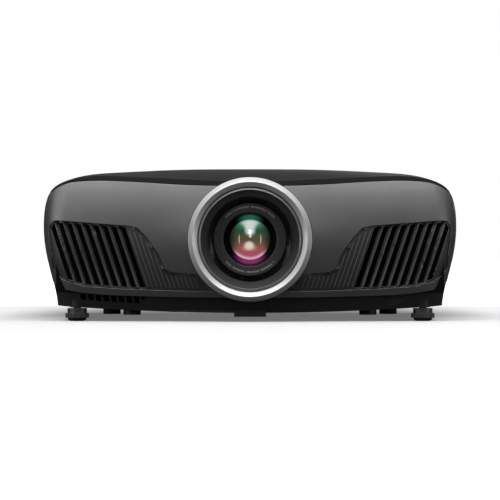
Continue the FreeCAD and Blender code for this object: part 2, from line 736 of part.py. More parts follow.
def zoom_lens_cell():
    body = start_body("zoom_lens_cell")
    turn_profile(body, [
        ("barrel_front + 18", "inner_glass_radius + 0.1"),
        ("barrel_front + 18", "sleeve_bore_radius - 0.4"),
        ("barrel_front + 40", "sleeve_bore_radius - 0.4"),
        ("barrel_front + 40", "inner_glass_radius - 2"),
        ("barrel_front + 28", "inner_glass_radius - 2"),
        ("barrel_front + 28", "inner_glass_radius + 0.1")])
    place(body, z="lens_level")
    keep(body)


def lens_carriage(label, front, half_across, half_up, hole, rails):
    """A carriage plate with a hole for the barrel and rails that guide the plate in front of it."""
    body = start_body(label)
    pad(body, "front", front, "%s + carriage_thickness" % front, lambda flat: (
        draw_box(flat, "-1 * (%s)" % half_across, half_across, "-1 * (%s)" % half_up, half_up),
        draw_circle(flat, "0", "0", hole)))
    for left, right, low, high in rails:
        pad(body, "front", "%s - 8" % front, "%s + 0.2" % front,
            lambda flat: draw_box(flat, left, right, low, high))
    place(body, z="lens_level")
    keep(body)


def lens_motors():
    body = start_body("lens_motors")
    out = "(barrel_radius + 27) * 0.7071"
    for across, up in (("-1 * " + out, out), (out, "-1 * " + out)):
        pad(body, "front", "barrel_back - 58", "barrel_back",
            lambda flat: draw_circle(flat, across, up, "8"))
    place(body, z="lens_level")
    keep(body)


# ---------------------------------------------------------------- feet

FOOT_REACH = "case_width / 2 - foot_side_inset"
FOOT_DEPTH = "front_face + foot_front_inset"
REAR_FOOT_REACH = "case_width / 2 - rear_foot_side_inset"
REAR_FOOT_DEPTH = "rear_face - rear_foot_rear_inset"


def foot(label, side):
    """The turning knob and screw of one front foot."""
    body = start_body(label)
    turn_profile(body, [
        ("3.4", "foot_knob_bottom"), ("foot_knob_radius", "foot_knob_bottom"),
        ("foot_knob_radius", "foot_knob_top"), ("foot_neck_radius", "foot_knob_top"),
        ("foot_neck_radius", "16"), ("foot_screw_radius", "16"),
        ("foot_screw_radius", "foot_screw_top"), ("0", "foot_screw_top"),
        ("0", "foot_knob_bottom + 5"), ("3.4", "foot_knob_bottom + 5")], about="Z")
    cut = pocket(body, "top", "foot_knob_bottom - 1", "foot_knob_top",
                 lambda flat: draw_circle(flat, "foot_knob_radius + 0.9", "0", "2.2"))
    ring_pattern(body, [cut], "foot_flutes", "Z_Axis")
    place(body, x="%d * (%s)" % (side, FOOT_REACH), y=FOOT_DEPTH)
    keep(body)


def foot_pad(label, side):
    """The rubber end of one front foot; its pin turns freely in the knob."""
    body = start_body(label)
    turn_profile(body, [
        ("0", "0"), ("8.5", "0"), ("11.6", "1.6"), ("11.6", "foot_knob_bottom - 0.4"),
        ("3", "foot_knob_bottom - 0.4"), ("3", "foot_knob_bottom + 4.4"),
        ("0", "foot_knob_bottom + 4.4")],
        about="Z")
    place(body, x="%d * (%s)" % (side, FOOT_REACH), y=FOOT_DEPTH)
    keep(body)


def rear_feet():
    body = start_body("rear_feet")
    for side in ("1", "-1"):
        pad(body, "top", "0", "8", lambda flat: draw_circle(
            flat, "%s * (%s)" % (side, REAR_FOOT_REACH), REAR_FOOT_DEPTH, "rear_foot_radius"))
    keep(body)


def mount_bushes():
    body = start_body("mount_bushes")
    for side in ("1", "-1"):
        for depth in ("bush_front", "bush_back"):
            pad(body, "top", "bush_bottom", "bush_bottom + bush_thread_depth", lambda flat: (
                draw_circle(flat, "%s * bush_reach" % side, depth, "bush_thread_radius + 2"),
                draw_circle(flat, "%s * bush_reach" % side, depth, "bush_thread_radius")))
    keep(body)


def screw_spots():
    """Where the case screws stand, in plan."""
    side = S.case_width / 2 - 32
    back = S.rear_face - 20
    return [(-side, -60), (side, -60), (-side, 60), (side, 60),
            (-150, back), (150, back), (-60, 60), (60, 60)]


def floor_level(x):
    """The underside of the lower case at a reach from the middle."""
    edge = S.case_width / 2 - S.sill_inset
    return S.case_bottom + S.case_edge_rise * (x / edge) ** 2


def case_screws():
    screws = []
    for x, y in screw_spots():
        low = floor_level(x) + 0.6
        head = rod(S.screw_head_radius, 2.0, Vector(x, y, low), Vector(0, 0, 1))
        shank = rod(S.screw_radius, 12.0, Vector(x, y, low + 2), Vector(0, 0, 1))
        cross = block(x - 1.8, x + 1.8, y - 0.35, y + 0.35, low - 1, low + 1)
        slot = block(x - 0.35, x + 0.35, y - 1.8, y + 1.8, low - 1, low + 1)
        screws.append(head.fuse(shank).cut(cross).cut(slot))
    shaped("case_screws", Part.makeCompound(screws))


# ---------------------------------------------------------------- controls on the side

CONTROL_FACE = "-1 * case_width / 2 + control_plate_depth"
INDICATORS = (-120, -112, -104)
INDICATOR_LEVEL = 112

BUTTONS = [
    ("power_button", -124, 132, "button_radius + 1"), ("source_button", -108, 132, "button_radius"),
    ("menu_button", -92, 132, "button_radius"), ("escape_button", -92, 104, "button_radius"),
    ("enter_button", -50, 118, "button_radius"), ("up_button", -50, 131, "button_radius - 0.4"),
    ("down_button", -50, 105, "button_radius - 0.4"), ("left_button", -64, 118, "button_radius - 0.4"),
    ("right_button", -36, 118, "button_radius - 0.4"),
]


def side_button(label, y, z, radius):
    """A button that pokes out of the control plate; a flange behind the plate stops it."""
    body = start_body(label)
    turn_profile(body, [("-4", "0"), ("-4", radius), ("2.3", radius), ("2.3", "%s + 1.5" % radius),
                        ("3.4", "%s + 1.5" % radius), ("3.4", "0")], about="X")
    place(body, x=CONTROL_FACE, y=str(y), z=str(z))
    keep(body)


def control_plate():
    body = start_body("control_plate")
    pad(body, "side", CONTROL_FACE + " - 5.4", CONTROL_FACE + " + 2",
        lambda flat: draw_box(flat, "control_front + 0.6", "control_back - 0.6",
                              "control_foot + 0.6", "control_top - 0.6"))
    pocket(body, "side", CONTROL_FACE + " - 7", CONTROL_FACE,
           lambda flat: draw_box(flat, "control_front + 2", "control_back - 2",
                                 "control_foot + 2", "control_top - 2"))
    for label, y, z, radius in BUTTONS:
        pocket(body, "side", CONTROL_FACE + " - 1", CONTROL_FACE + " + 3",
               lambda flat: draw_circle(flat, str(y), str(z), "%s + 0.35" % radius))
    for y in INDICATORS:
        pocket(body, "side", CONTROL_FACE + " - 1", CONTROL_FACE + " + 3",
               lambda flat: draw_circle(flat, str(y), str(INDICATOR_LEVEL), "1.25"))
    keep(body)


# ---------------------------------------------------------------- inside

FAN_BACK = ("front_face + front_bow * ((case_width / 2 - fan_side_inset + fan_side / 2)"
            " / (case_width / 2 - 20)) ^ 2 + grille_depth + 5 + fan_depth")


def fan_frame():
    body = start_body("fan_frame")
    pad(body, "front", FAN_BACK + " - fan_depth", FAN_BACK, lambda flat: (
        draw_box(flat, "-fan_side / 2", "fan_side / 2", "-fan_side / 2", "fan_side / 2"),
        draw_circle(flat, "0", "0", "rotor_radius + rotor_gap")))
    pad(body, "front", FAN_BACK + " - 4", FAN_BACK + " - 1", lambda flat: (
        draw_circle(flat, "0", "0", "rotor_hub_radius + 1")))
    for low, high, left, right in (("-2", "2", "-fan_side / 2 + 1", "fan_side / 2 - 1"),
                                   ("-fan_side / 2 + 1", "fan_side / 2 - 1", "-2", "2")):
        pad(body, "front", FAN_BACK + " - 4", FAN_BACK + " - 1",
            lambda flat: draw_box(flat, left, right, low, high))
    place(body, x="-1 * case_width / 2 + fan_side_inset", z="lens_level + 2")
    doc.recompute()
    return keep(body)


def bladed_rotor(label, radius, hub, depth, blades, spot, along):
    """A hub with flat blades set at a slant."""
    middle = Vector(*spot)
    solid = rod(hub, depth, middle, Vector(*along))
    for index in range(blades):
        blade = Part.makeBox(radius - hub + 1.5, 1.6, depth - 3, Vector(hub - 1.5, -0.8, 0))
        blade.rotate(Vector(0, 0, (depth - 3) / 2), Vector(1, 0, 0), 32 if along[1] else 0)
        blade = blade.common(rod(radius, depth * 2, Vector(0, 0, -depth / 2), Vector(0, 0, 1)))
        blade.rotate(Vector(0, 0, 0), Vector(0, 0, 1), 360.0 * index / blades)
        blade = blade.common(block(-200, 200, -200, 200, 0, depth - 3))
        if along[1]:
            blade.rotate(Vector(0, 0, 0), Vector(1, 0, 0), -90)
            blade.translate(middle + Vector(0, 1.5, 0))
        else:
            blade.translate(middle + Vector(0, 0, 1.5))
        solid = solid.fuse(blade)
    shaped(label, solid.removeSplitter())


def blower_housing():
    body = start_body("blower_housing")
    pad(body, "top", "24", "56", lambda flat: draw_circle(flat, "0", "0", "44"))
    pad(body, "top", "24", "56", lambda flat: draw_box(flat, "-44", "-12", "-6", "58"))
    pocket(body, "top", "26", "54", lambda flat: draw_circle(flat, "0", "0", "42"))
    pocket(body, "top", "26", "54", lambda flat: draw_box(flat, "-42", "-14", "-6", "60"))
    pocket(body, "top", "50", "60", lambda flat: draw_circle(flat, "0", "0", "24"))
    place(body, x="case_width / 2 - blower_side_inset", y="-96")
    keep(body)


LAMP_SIDE = "-1 * case_width / 2 + lamp_side_gap"


def optical_housing():
    body = start_body("optical_housing")
    left = LAMP_SIDE + " + lamp_length + 20"
    pad(body, "top", "70", "136", lambda flat: draw_box(flat, left, "66", "4", "86"))
    pocket(body, "top", "72.5", "140",
           lambda flat: draw_box(flat, left + " + 2.5", "63.5", "6.5", "83.5"))
    pocket(body, "side", left + " - 2", left + " + 4",
           lambda flat: draw_box(flat, "22", "70", "86", "128"))
    pocket(body, "front", "2", "8",
           lambda flat: draw_box(flat, "-18", "18", "lens_level - 18", "lens_level + 18"))
    keep(body)


def light_path_optics():
    body = start_body("light_path_optics")
    first = LAMP_SIDE + " + lamp_length + 27"
    for left in (first, "-54"):
        pad(body, "top", "73", "124", lambda flat: draw_box(flat, left, left + " + 4", "24", "66"))
    for shift in ("-26", "14"):
        pad(body, "top", "73", "124", lambda flat: draw_outline(flat, [
            (shift, "18"), ("%s + 2" % shift, "18"),
            ("%s + 32" % shift, "48"), ("%s + 30" % shift, "48")]))
    keep(body)


def iris_flag():
    body = start_body("iris_flag")
    pad(body, "top", "76", "126", lambda flat: draw_circle(flat, "0", "0", "2.4"))
    pad(body, "top", "84", "122", lambda flat: draw_box(flat, "1", "36", "-0.7", "0.7"))
    place(body, x=LAMP_SIDE + " + lamp_length + 43", y="74")
    keep(body)


def cross_prism():
    thing = doc.addObject("Part::Box", "cross_prism")
    for field in ("Length", "Width", "Height"):
        bind(thing, field, "prism_side")
    place(thing, "-prism_side / 2", "prism_back - prism_side", "lens_level - prism_side / 2")
    keep(thing, "cross_prism")


def lcd_panels():
    body = start_body("lcd_panels")
    low, high = "lens_level - 17", "lens_level + 17"
    pad(body, "top", low, high, lambda flat: draw_box(
        flat, "prism_side / 2 + 1", "prism_side / 2 + 4", "prism_back - 35", "prism_back - 1"))
    pad(body, "top", low, high, lambda flat: draw_box(
        flat, "-prism_side / 2 - 4", "-prism_side / 2 - 1", "prism_back - 35", "prism_back - 1"))
    pad(body, "top", low, high,
        lambda flat: draw_box(flat, "-17", "17", "prism_back + 1", "prism_back + 4"))
    keep(body)


def lamp_cartridge():
    body = start_body("lamp_cartridge")
    low, high = "lens_level - 13", "lens_level - 13 + lamp_height"
    near = LAMP_SIDE
    depth = "lamp_door_front + 10"
    pad(body, "top", low, high, lambda flat: draw_box(
        flat, near, near + " + lamp_length", depth, depth + " + lamp_width"))
    pocket(body, "side", near + " + lamp_length - 30", near + " + lamp_length + 1",
           lambda flat: draw_circle(
               flat, depth + " + lamp_width / 2", low + " + lamp_height / 2", "19"))
    pocket(body, "top", "%s - 2" % high, "%s + 1" % high, lambda flat: draw_box(
        flat, near + " + 8", near + " + 8 + lamp_length / 2",
        depth + " + 8", depth + " + lamp_width - 8"))
    keep(body)


def air_filter():
    body = start_body("air_filter")
    far = "case_width / 2 - 14"
    pad(body, "top", "94", "142", lambda flat: draw_box(
        flat, far + " - 44", far, "filter_door_front + 10", "filter_door_back - 10"))
    cut = pocket(body, "top", "97", "144", lambda flat: draw_box(
        flat, far + " - 41", far + " - 3", "filter_door_front + 13", "filter_door_front + 17"))
    row_pattern(body, [cut], "Y_Axis", "filter_door_back - filter_door_front - 30", "11")
    keep(body)


def power_supply_board():
    body = start_body("power_supply_board")
    pad(body, "top", "26", "26 + board_thickness", lambda flat: draw_box(
        flat, "100", "case_width / 2 - 40", "-24", "rear_face - 37"))
    for left, front, width, depth, top in (
            ("110", "-10", "34", "30", "58"), ("152", "-14", "20", "20", "64"),
            ("178", "0", "40", "46", "66"), ("112", "40", "50", "10", "60"),
            ("180", "70", "24", "24", "62"), ("116", "70", "40", "44", "56"),
            ("200", "110", "16", "30", "50"), ("120", "136", "60", "30", "48")):
        pad(body, "top", "27", top, lambda flat: draw_box(
            flat, left, "%s + %s" % (left, width), front, "%s + %s" % (front, depth)))
    keep(body)


def lamp_ballast():
    body = start_body("lamp_ballast")
    pad(body, "top", "22", "58", lambda flat: draw_box(flat, "-130", "40", "104", "176"))
    cut = pocket(body, "top", "50", "60", lambda flat: draw_box(flat, "-122", "-116", "112", "168"))
    row_pattern(body, [cut], "X_Axis", "140", "10")
    keep(body)


def main_board():
    body = start_body("main_board")
    pad(body, "top", "84", "84 + board_thickness", lambda flat: draw_box(
        flat, "-136", "146", "96", "rear_face - 11"))
    for left, front, width, depth, top in (
            ("-60", "120", "38", "38", "89"), ("10", "130", "30", "30", "88"),
            ("-110", "130", "24", "40", "94"), ("70", "120", "50", "12", "92"),
            ("80", "150", "20", "20", "90")):
        pad(body, "top", "85", top, lambda flat: draw_box(
            flat, left, "%s + %s" % (left, width), front, "%s + %s" % (front, depth)))
    keep(body)


# ---------------------------------------------------------------- rear

# distance from the panel's right end, half width, half height; a round socket has no half height
SOCKETS = [(102, 7.5, 2.8), (126, 7.5, 2.8), (150, 7.5, 2.8), (174, 4.2, 0), (189, 4.2, 0),
           (204, 4.2, 0), (222, 4.8, 0), (240, 4.2, 0), (268, 12.5, 5), (310, 15.5, 5.5), (334, 3, 0)]
SOCKET_LEVEL = 93.0


def socket_places():
    return [(panel_ends()[1] - reach, half, high) for reach, half, high in SOCKETS]


def socket_body(x, half, high, grow, y_from):
    if high:
        return block(x - half - grow, x + half + grow, y_from, S.rear_face - 0.4,
                     SOCKET_LEVEL - high - grow, SOCKET_LEVEL + high + grow)
    length = S.rear_face - 0.4 - y_from
    return rod(half + grow, length, Vector(x, y_from, SOCKET_LEVEL), Vector(0, 1, 0))


def signal_sockets():
    """Rectangular sockets are hollow with a short tongue; round ones are barrels with a small hole."""
    sockets = []
    for x, half, high in socket_places():
        if high:
            shell = socket_body(x, half, high, 1.2, S.rear_face - 22).cut(
                socket_body(x, half, high, 0, S.rear_face - 15))
            tongue = block(x - half + 2, x + half - 2, S.rear_face - 17, S.rear_face - 7,
                           SOCKET_LEVEL - 0.6, SOCKET_LEVEL + 0.9)
            sockets.append(shell.fuse(tongue).removeSplitter())
        else:
            hole = rod(1.6, 12, Vector(x, S.rear_face - 12, SOCKET_LEVEL), Vector(0, 1, 0))
            sockets.append(socket_body(x, half, high, 0, S.rear_face - 22).cut(hole))
    shaped("signal_sockets", Part.makeCompound(sockets))


def power_inlet():
    body = start_body("power_inlet")
    pad(body, "front", "rear_face - 25", "rear_face - 0.4",
        lambda flat: draw_box(flat, "-15", "15", "-12", "12"))
    pocket(body, "front", "rear_face - 17", "rear_face + 1",
           lambda flat: draw_box(flat, "-12", "12", "-8.2", "8.2"))
    for across, up in (("-7", "-2"), ("0", "3"), ("7", "-2")):
        pad(body, "front", "rear_face - 18", "rear_face - 7", lambda flat: draw_box(
            flat, "%s - 1" % across, "%s + 1" % across, "%s - 2" % up, "%s + 2" % up))
    place(body, x="case_width / 2 - rear_panel_right_inset - 30", z="95")
    keep(body)


def indicator_windows():
    windows = [rod(7, 2.2, Vector(panel_ends()[0] + 16, S.rear_face - 2.6, 104), Vector(0, 1, 0))]
    for y in INDICATORS:
        spot = Vector(S.control_plate_depth - 0.4 - S.case_width / 2, y, INDICATOR_LEVEL)
        windows.append(rod(1.2, 2.4, spot, Vector(1, 0, 0)))
    shaped("indicator_windows", Part.makeCompound(windows))


# ---------------------------------------------------------------- assembly

def build_all():
    make_shells()
    louvre_grille()
    filter_knob()
    lens_trim_ring()
    lens_funnel()
    shutter_track()
    shutter("shutter_left", -1)
    shutter("shutter_right", 1)
    front_lens_cell()
    lens_element("front_lens_glass", "glass_radius - 0.1", "bezel_front + 1", "bezel_back + 2.4", "80")
    lens_element("inner_lens_glass", "inner_glass_radius",
                 "barrel_front + 20", "barrel_front + 28", "60")
    zoom_lens_cell()
    lens_barrel()
    knurled_ring("focus_ring", "barrel_front + 2", "18", "barrel_radius + 7.5", "36")
    knurled_ring("zoom_ring", "barrel_front + 28", "22", "barrel_radius + 9", "30")
    lens_motors()
    lens_carriage("horizontal_carriage", "barrel_back", "60", "59.5", "barrel_bore_radius", [])
    lens_carriage("vertical_carriage", "barrel_back + 7", "69.5", "66", "barrel_radius + 11",
                  [("-69.5", "69.5", "60", "66"), ("-69.5", "69.5", "-66", "-60")])
    lens_carriage("lens_shift_frame", "barrel_back + 15", "92", "72", "barrel_radius + 17",
                  [("70", "76", "-72", "72"), ("-76", "-70", "-72", "72")])
    for label, side in (("left_foot", -1), ("right_foot", 1)):
        foot(label, side)
        foot_pad(label + "_pad", side)
    rear_feet()
    mount_bushes()
    case_screws()
    control_plate()
    for label, y, z, radius in BUTTONS:
        side_button(label, y, z, radius)
    fan_front = fan_frame().Shape.BoundBox.YMin
    bladed_rotor("exhaust_rotor", S.rotor_radius, S.rotor_hub_radius, S.fan_depth - 5,
                 7, (S.fan_side_inset - S.case_width / 2, fan_front + 0.5, S.lens_level + 2), (0, 1, 0))
    blower_housing()
    bladed_rotor("blower_rotor", 34, 28, 22, 24,
                 (S.case_width / 2 - S.blower_side_inset, -96, 27), (0, 0, 1))
    optical_housing()
    light_path_optics()
    iris_flag()
    cross_prism()
    lcd_panels()
    lamp_cartridge()
    air_filter()
    power_supply_board()
    lamp_ballast()
    main_board()
    signal_sockets()
    power_inlet()
    indicator_windows()


def write_parts():
    doc.recompute()
    faults = [thing.Label for thing in doc.Objects
              if any(word in thing.State for word in ("Invalid", "Error"))]
    if faults:
        raise RuntimeError("these did not build: %s" % faults)
    for thing in nodes:
        if thing.Shape.isNull() or not thing.Shape.isValid():
            raise RuntimeError("%s has no valid shape" % thing.Label)
    os.makedirs("parts", exist_ok=True)
    for thing in nodes:
        thing.Shape.exportStep("parts/%s.step" % thing.Label)
        box = thing.Shape.BoundBox
        print("%-22s %d solids, %9.0f mm3, x %.1f..%.1f y %.1f..%.1f z %.1f..%.1f" % (
            thing.Label, len(thing.Shape.Solids), thing.Shape.Volume,
            box.XMin, box.XMax, box.YMin, box.YMax, box.ZMin, box.ZMax))
    print(len(nodes), "nodes")


build_all()
write_parts()
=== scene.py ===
# %% [markdown]
# # A home projector, dressed for its portrait
# The CAD frame already holds every part at its true size. This lesson gives each part a finish, adds the
# small shapes that catch the light, and lights the whole as in a plain white studio. The new pieces
# share that frame: their sizes are given in millimetres, as on a drawing, and the helpers turn them into
# metres.

# %% Load the frame
from math import atan2, cos, hypot, pi, radians, sqrt, tan

import bpy
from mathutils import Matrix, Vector


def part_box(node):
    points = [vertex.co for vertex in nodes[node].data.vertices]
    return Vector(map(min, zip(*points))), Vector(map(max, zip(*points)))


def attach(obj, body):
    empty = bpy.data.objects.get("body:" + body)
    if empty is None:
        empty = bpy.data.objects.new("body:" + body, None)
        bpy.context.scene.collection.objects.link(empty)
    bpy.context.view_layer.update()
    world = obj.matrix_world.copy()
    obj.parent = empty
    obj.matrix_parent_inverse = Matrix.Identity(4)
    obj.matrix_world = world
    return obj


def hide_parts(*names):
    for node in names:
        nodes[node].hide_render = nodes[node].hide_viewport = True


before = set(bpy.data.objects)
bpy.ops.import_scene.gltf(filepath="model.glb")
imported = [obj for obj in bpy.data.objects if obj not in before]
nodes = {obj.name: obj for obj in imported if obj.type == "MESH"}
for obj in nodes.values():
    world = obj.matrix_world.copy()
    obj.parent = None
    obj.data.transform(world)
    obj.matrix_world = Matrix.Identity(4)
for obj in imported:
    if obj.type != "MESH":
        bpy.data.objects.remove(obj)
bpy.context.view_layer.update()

# %% [markdown]
# ## Helpers for modelling by hand
# Every new piece starts from a primitive, is shaped in edit mode, and ends with its place in its own
# mesh. Two habits keep this safe: nothing is selected before a primitive is added, and the transform is
# applied as soon as a piece is done.

# %% Selection and finishing helpers
MM = 0.001


def clear_selection():
    if bpy.context.mode != "OBJECT":
        bpy.ops.object.mode_set(mode="OBJECT")
    bpy.ops.object.select_all(action="DESELECT")


def take(obj):
    clear_selection()
    obj.select_set(True)
    bpy.context.view_layer.objects.active = obj


def settle(obj, name):
    """Put the piece's place into its mesh and name it."""
    take(obj)
    bpy.ops.object.transform_apply(location=True, rotation=True, scale=True)
    obj.name = name
    obj.data.name = name
    return obj


def soften(obj, width, segments=2, limit=30):
    """Round the sharp edges with a bevel, then shade smooth across gentle ones."""
    take(obj)
    bevel = obj.modifiers.new("edges", "BEVEL")
    bevel.width = width
    bevel.segments = segments
    bevel.limit_method = "ANGLE"
    bevel.angle_limit = radians(limit)
    bpy.ops.object.modifier_apply(modifier=bevel.name)
    bpy.ops.object.shade_smooth_by_angle(angle=radians(35))
    return obj


def join(pieces, name):
    clear_selection()
    for piece in pieces:
        piece.select_set(True)
    bpy.context.view_layer.objects.active = pieces[0]
    bpy.ops.object.join()
    return settle(bpy.context.object, name)


# %% A turned piece: one circle, extruded ring by ring
ring_low, ring_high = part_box("lens_trim_ring")
LENS_LEVEL = round((ring_low[2] + ring_high[2]) / 2 / MM, 1)
AXIS = (0, 0, LENS_LEVEL)
print("lens axis:", LENS_LEVEL, "mm up")


def turned(name, profile, segments=128, closed=True):
    """Extrude a circle about the lens axis, along (depth, radius) pairs in millimetres."""
    clear_selection()

    def spot(depth):
        return Vector((0, depth, LENS_LEVEL)) * MM

    bpy.ops.mesh.primitive_circle_add(vertices=segments, radius=profile[0][1] * MM,
                                      location=spot(profile[0][0]), rotation=(pi / 2, 0, 0))
    obj = bpy.context.object
    bpy.ops.object.transform_apply(location=True, rotation=True, scale=True)
    bpy.ops.object.mode_set(mode="EDIT")
    bpy.ops.mesh.select_mode(type="EDGE")
    bpy.ops.mesh.select_all(action="SELECT")
    for (depth, radius), (next_depth, next_radius) in zip(profile, profile[1:]):
        step = spot(next_depth) - spot(depth)
        bpy.ops.mesh.extrude_region_move(TRANSFORM_OT_translate={"value": step})
        growth = next_radius / radius
        bpy.ops.transform.resize(value=(growth, 1, growth), center_override=spot(next_depth))
    bpy.ops.mesh.select_all(action="DESELECT")
    bpy.ops.mesh.select_non_manifold()
    if closed:
        bpy.ops.mesh.bridge_edge_loops()
    else:
        bpy.ops.mesh.fill_holes(sides=0)
    bpy.ops.mesh.select_all(action="SELECT")
    bpy.ops.mesh.normals_make_consistent(inside=False)
    bpy.ops.object.mode_set(mode="OBJECT")
    return settle(obj, name)


def bar(size, place, turn=(0, 0, 0)):
    """A small block in millimetres, turned about its own middle."""
    clear_selection()
    bpy.ops.mesh.primitive_cube_add(size=1, location=[p * MM for p in place], rotation=turn)
    obj = bpy.context.object
    obj.scale = [s * MM for s in size]
    bpy.ops.object.transform_apply(location=True, rotation=True, scale=True)
    return obj


# %% [markdown]
# ## Finishes
# A moulded plastic case is never one flat colour. It has a fine spark-eroded grain, slightly uneven gloss,
# soft edges that catch light and carry a painted highlight, and a little dust on what faces up. Each effect
# is one node group with its own inputs, so that every finish uses the same recipe with its own values.

# %% Node group: fine grain
def new_group(name, inputs, outputs):
    group = bpy.data.node_groups.new(name, "ShaderNodeTree")
    for label, kind, value in inputs:
        socket = group.interface.new_socket(label, in_out="INPUT", socket_type=kind)
        socket.default_value = value
    for label, kind in outputs:
        group.interface.new_socket(label, in_out="OUTPUT", socket_type=kind)
    way_in = group.nodes.new("NodeGroupInput")
    way_out = group.nodes.new("NodeGroupOutput")
    return group, way_in, way_out


FLOAT = "NodeSocketFloat"
VECTOR = "NodeSocketVector"


def moulded_grain():
    """Height of a spark-eroded grain, and a broad mottle for colour and gloss."""
    group, way_in, way_out = new_group(
        "moulded_grain", [("Grains per metre", FLOAT, 1800.0), ("Mottle per metre", FLOAT, 14.0)],
        [("Height", FLOAT), ("Mottle", FLOAT)])
    link = group.links.new
    coords = group.nodes.new("ShaderNodeTexCoord")
    fine = group.nodes.new("ShaderNodeTexNoise")
    fine.inputs["Detail"].default_value = 2.0
    broad = group.nodes.new("ShaderNodeTexNoise")
    broad.inputs["Detail"].default_value = 4.0
    link(coords.outputs["Object"], fine.inputs["Vector"])
    link(coords.outputs["Object"], broad.inputs["Vector"])
    link(way_in.outputs["Grains per metre"], fine.inputs["Scale"])
    link(way_in.outputs["Mottle per metre"], broad.inputs["Scale"])
    link(fine.outputs["Fac"], way_out.inputs["Height"])
    link(broad.outputs["Fac"], way_out.inputs["Mottle"])
    return group


GRAIN = moulded_grain()
print("group:", GRAIN.name)

# %% Node group: soft edges
def soft_edges():
    """A normal that rounds the corners, and a mask that is one on them, where the finishes paint a
    highlight.
    """
    group, way_in, way_out = new_group(
        "soft_edges", [("Radius", FLOAT, 0.0006)], [("Normal", VECTOR), ("Edge", FLOAT)])
    link = group.links.new
    rounder = group.nodes.new("ShaderNodeBevel")
    rounder.samples = 6
    plain = group.nodes.new("ShaderNodeNewGeometry")
    meet = group.nodes.new("ShaderNodeVectorMath")
    meet.operation = "DOT_PRODUCT"
    spread = group.nodes.new("ShaderNodeMapRange")
    spread.inputs["From Min"].default_value = 0.995
    spread.inputs["From Max"].default_value = 0.80
    link(way_in.outputs["Radius"], rounder.inputs["Radius"])
    link(rounder.outputs["Normal"], meet.inputs[0])
    link(plain.outputs["Normal"], meet.inputs[1])
    link(meet.outputs["Value"], spread.inputs["Value"])
    link(rounder.outputs["Normal"], way_out.inputs["Normal"])
    link(spread.outputs["Result"], way_out.inputs["Edge"])
    return group


EDGES = soft_edges()
print("group:", EDGES.name)

# %% Node group: settled dust
def settled_dust():
    """A patchy mask on faces that look up."""
    group, way_in, way_out = new_group("settled_dust", [("Amount", FLOAT, 0.15)], [("Dust", FLOAT)])
    link = group.links.new
    coords = group.nodes.new("ShaderNodeTexCoord")
    specks = group.nodes.new("ShaderNodeTexNoise")
    specks.inputs["Scale"].default_value = 260.0
    specks.inputs["Detail"].default_value = 6.0
    plain = group.nodes.new("ShaderNodeNewGeometry")
    split = group.nodes.new("ShaderNodeSeparateXYZ")
    upward = group.nodes.new("ShaderNodeMapRange")
    upward.inputs["From Min"].default_value = 0.5
    speckle = group.nodes.new("ShaderNodeMapRange")
    speckle.inputs["From Min"].default_value = 0.45
    speckle.inputs["From Max"].default_value = 0.75
    both = group.nodes.new("ShaderNodeMath")
    both.operation = "MULTIPLY"
    scaled = group.nodes.new("ShaderNodeMath")
    scaled.operation = "MULTIPLY"
    link(coords.outputs["Object"], specks.inputs["Vector"])
    link(plain.outputs["Normal"], split.inputs["Vector"])
    link(split.outputs["Z"], upward.inputs["Value"])
    link(specks.outputs["Fac"], speckle.inputs["Value"])
    link(upward.outputs["Result"], both.inputs[0])
    link(speckle.outputs["Result"], both.inputs[1])
    link(both.outputs["Value"], scaled.inputs[0])
    link(way_in.outputs["Amount"], scaled.inputs[1])
    link(scaled.outputs["Value"], way_out.inputs["Dust"])
    return group


DUST = settled_dust()
print("group:", DUST.name)

# %% The finish recipe
def place_group(tree, group, **values):
    node = tree.nodes.new("ShaderNodeGroup")
    node.node_tree = group
    for label, value in values.items():
        node.inputs[label.replace("_", " ")].default_value = value
    return node


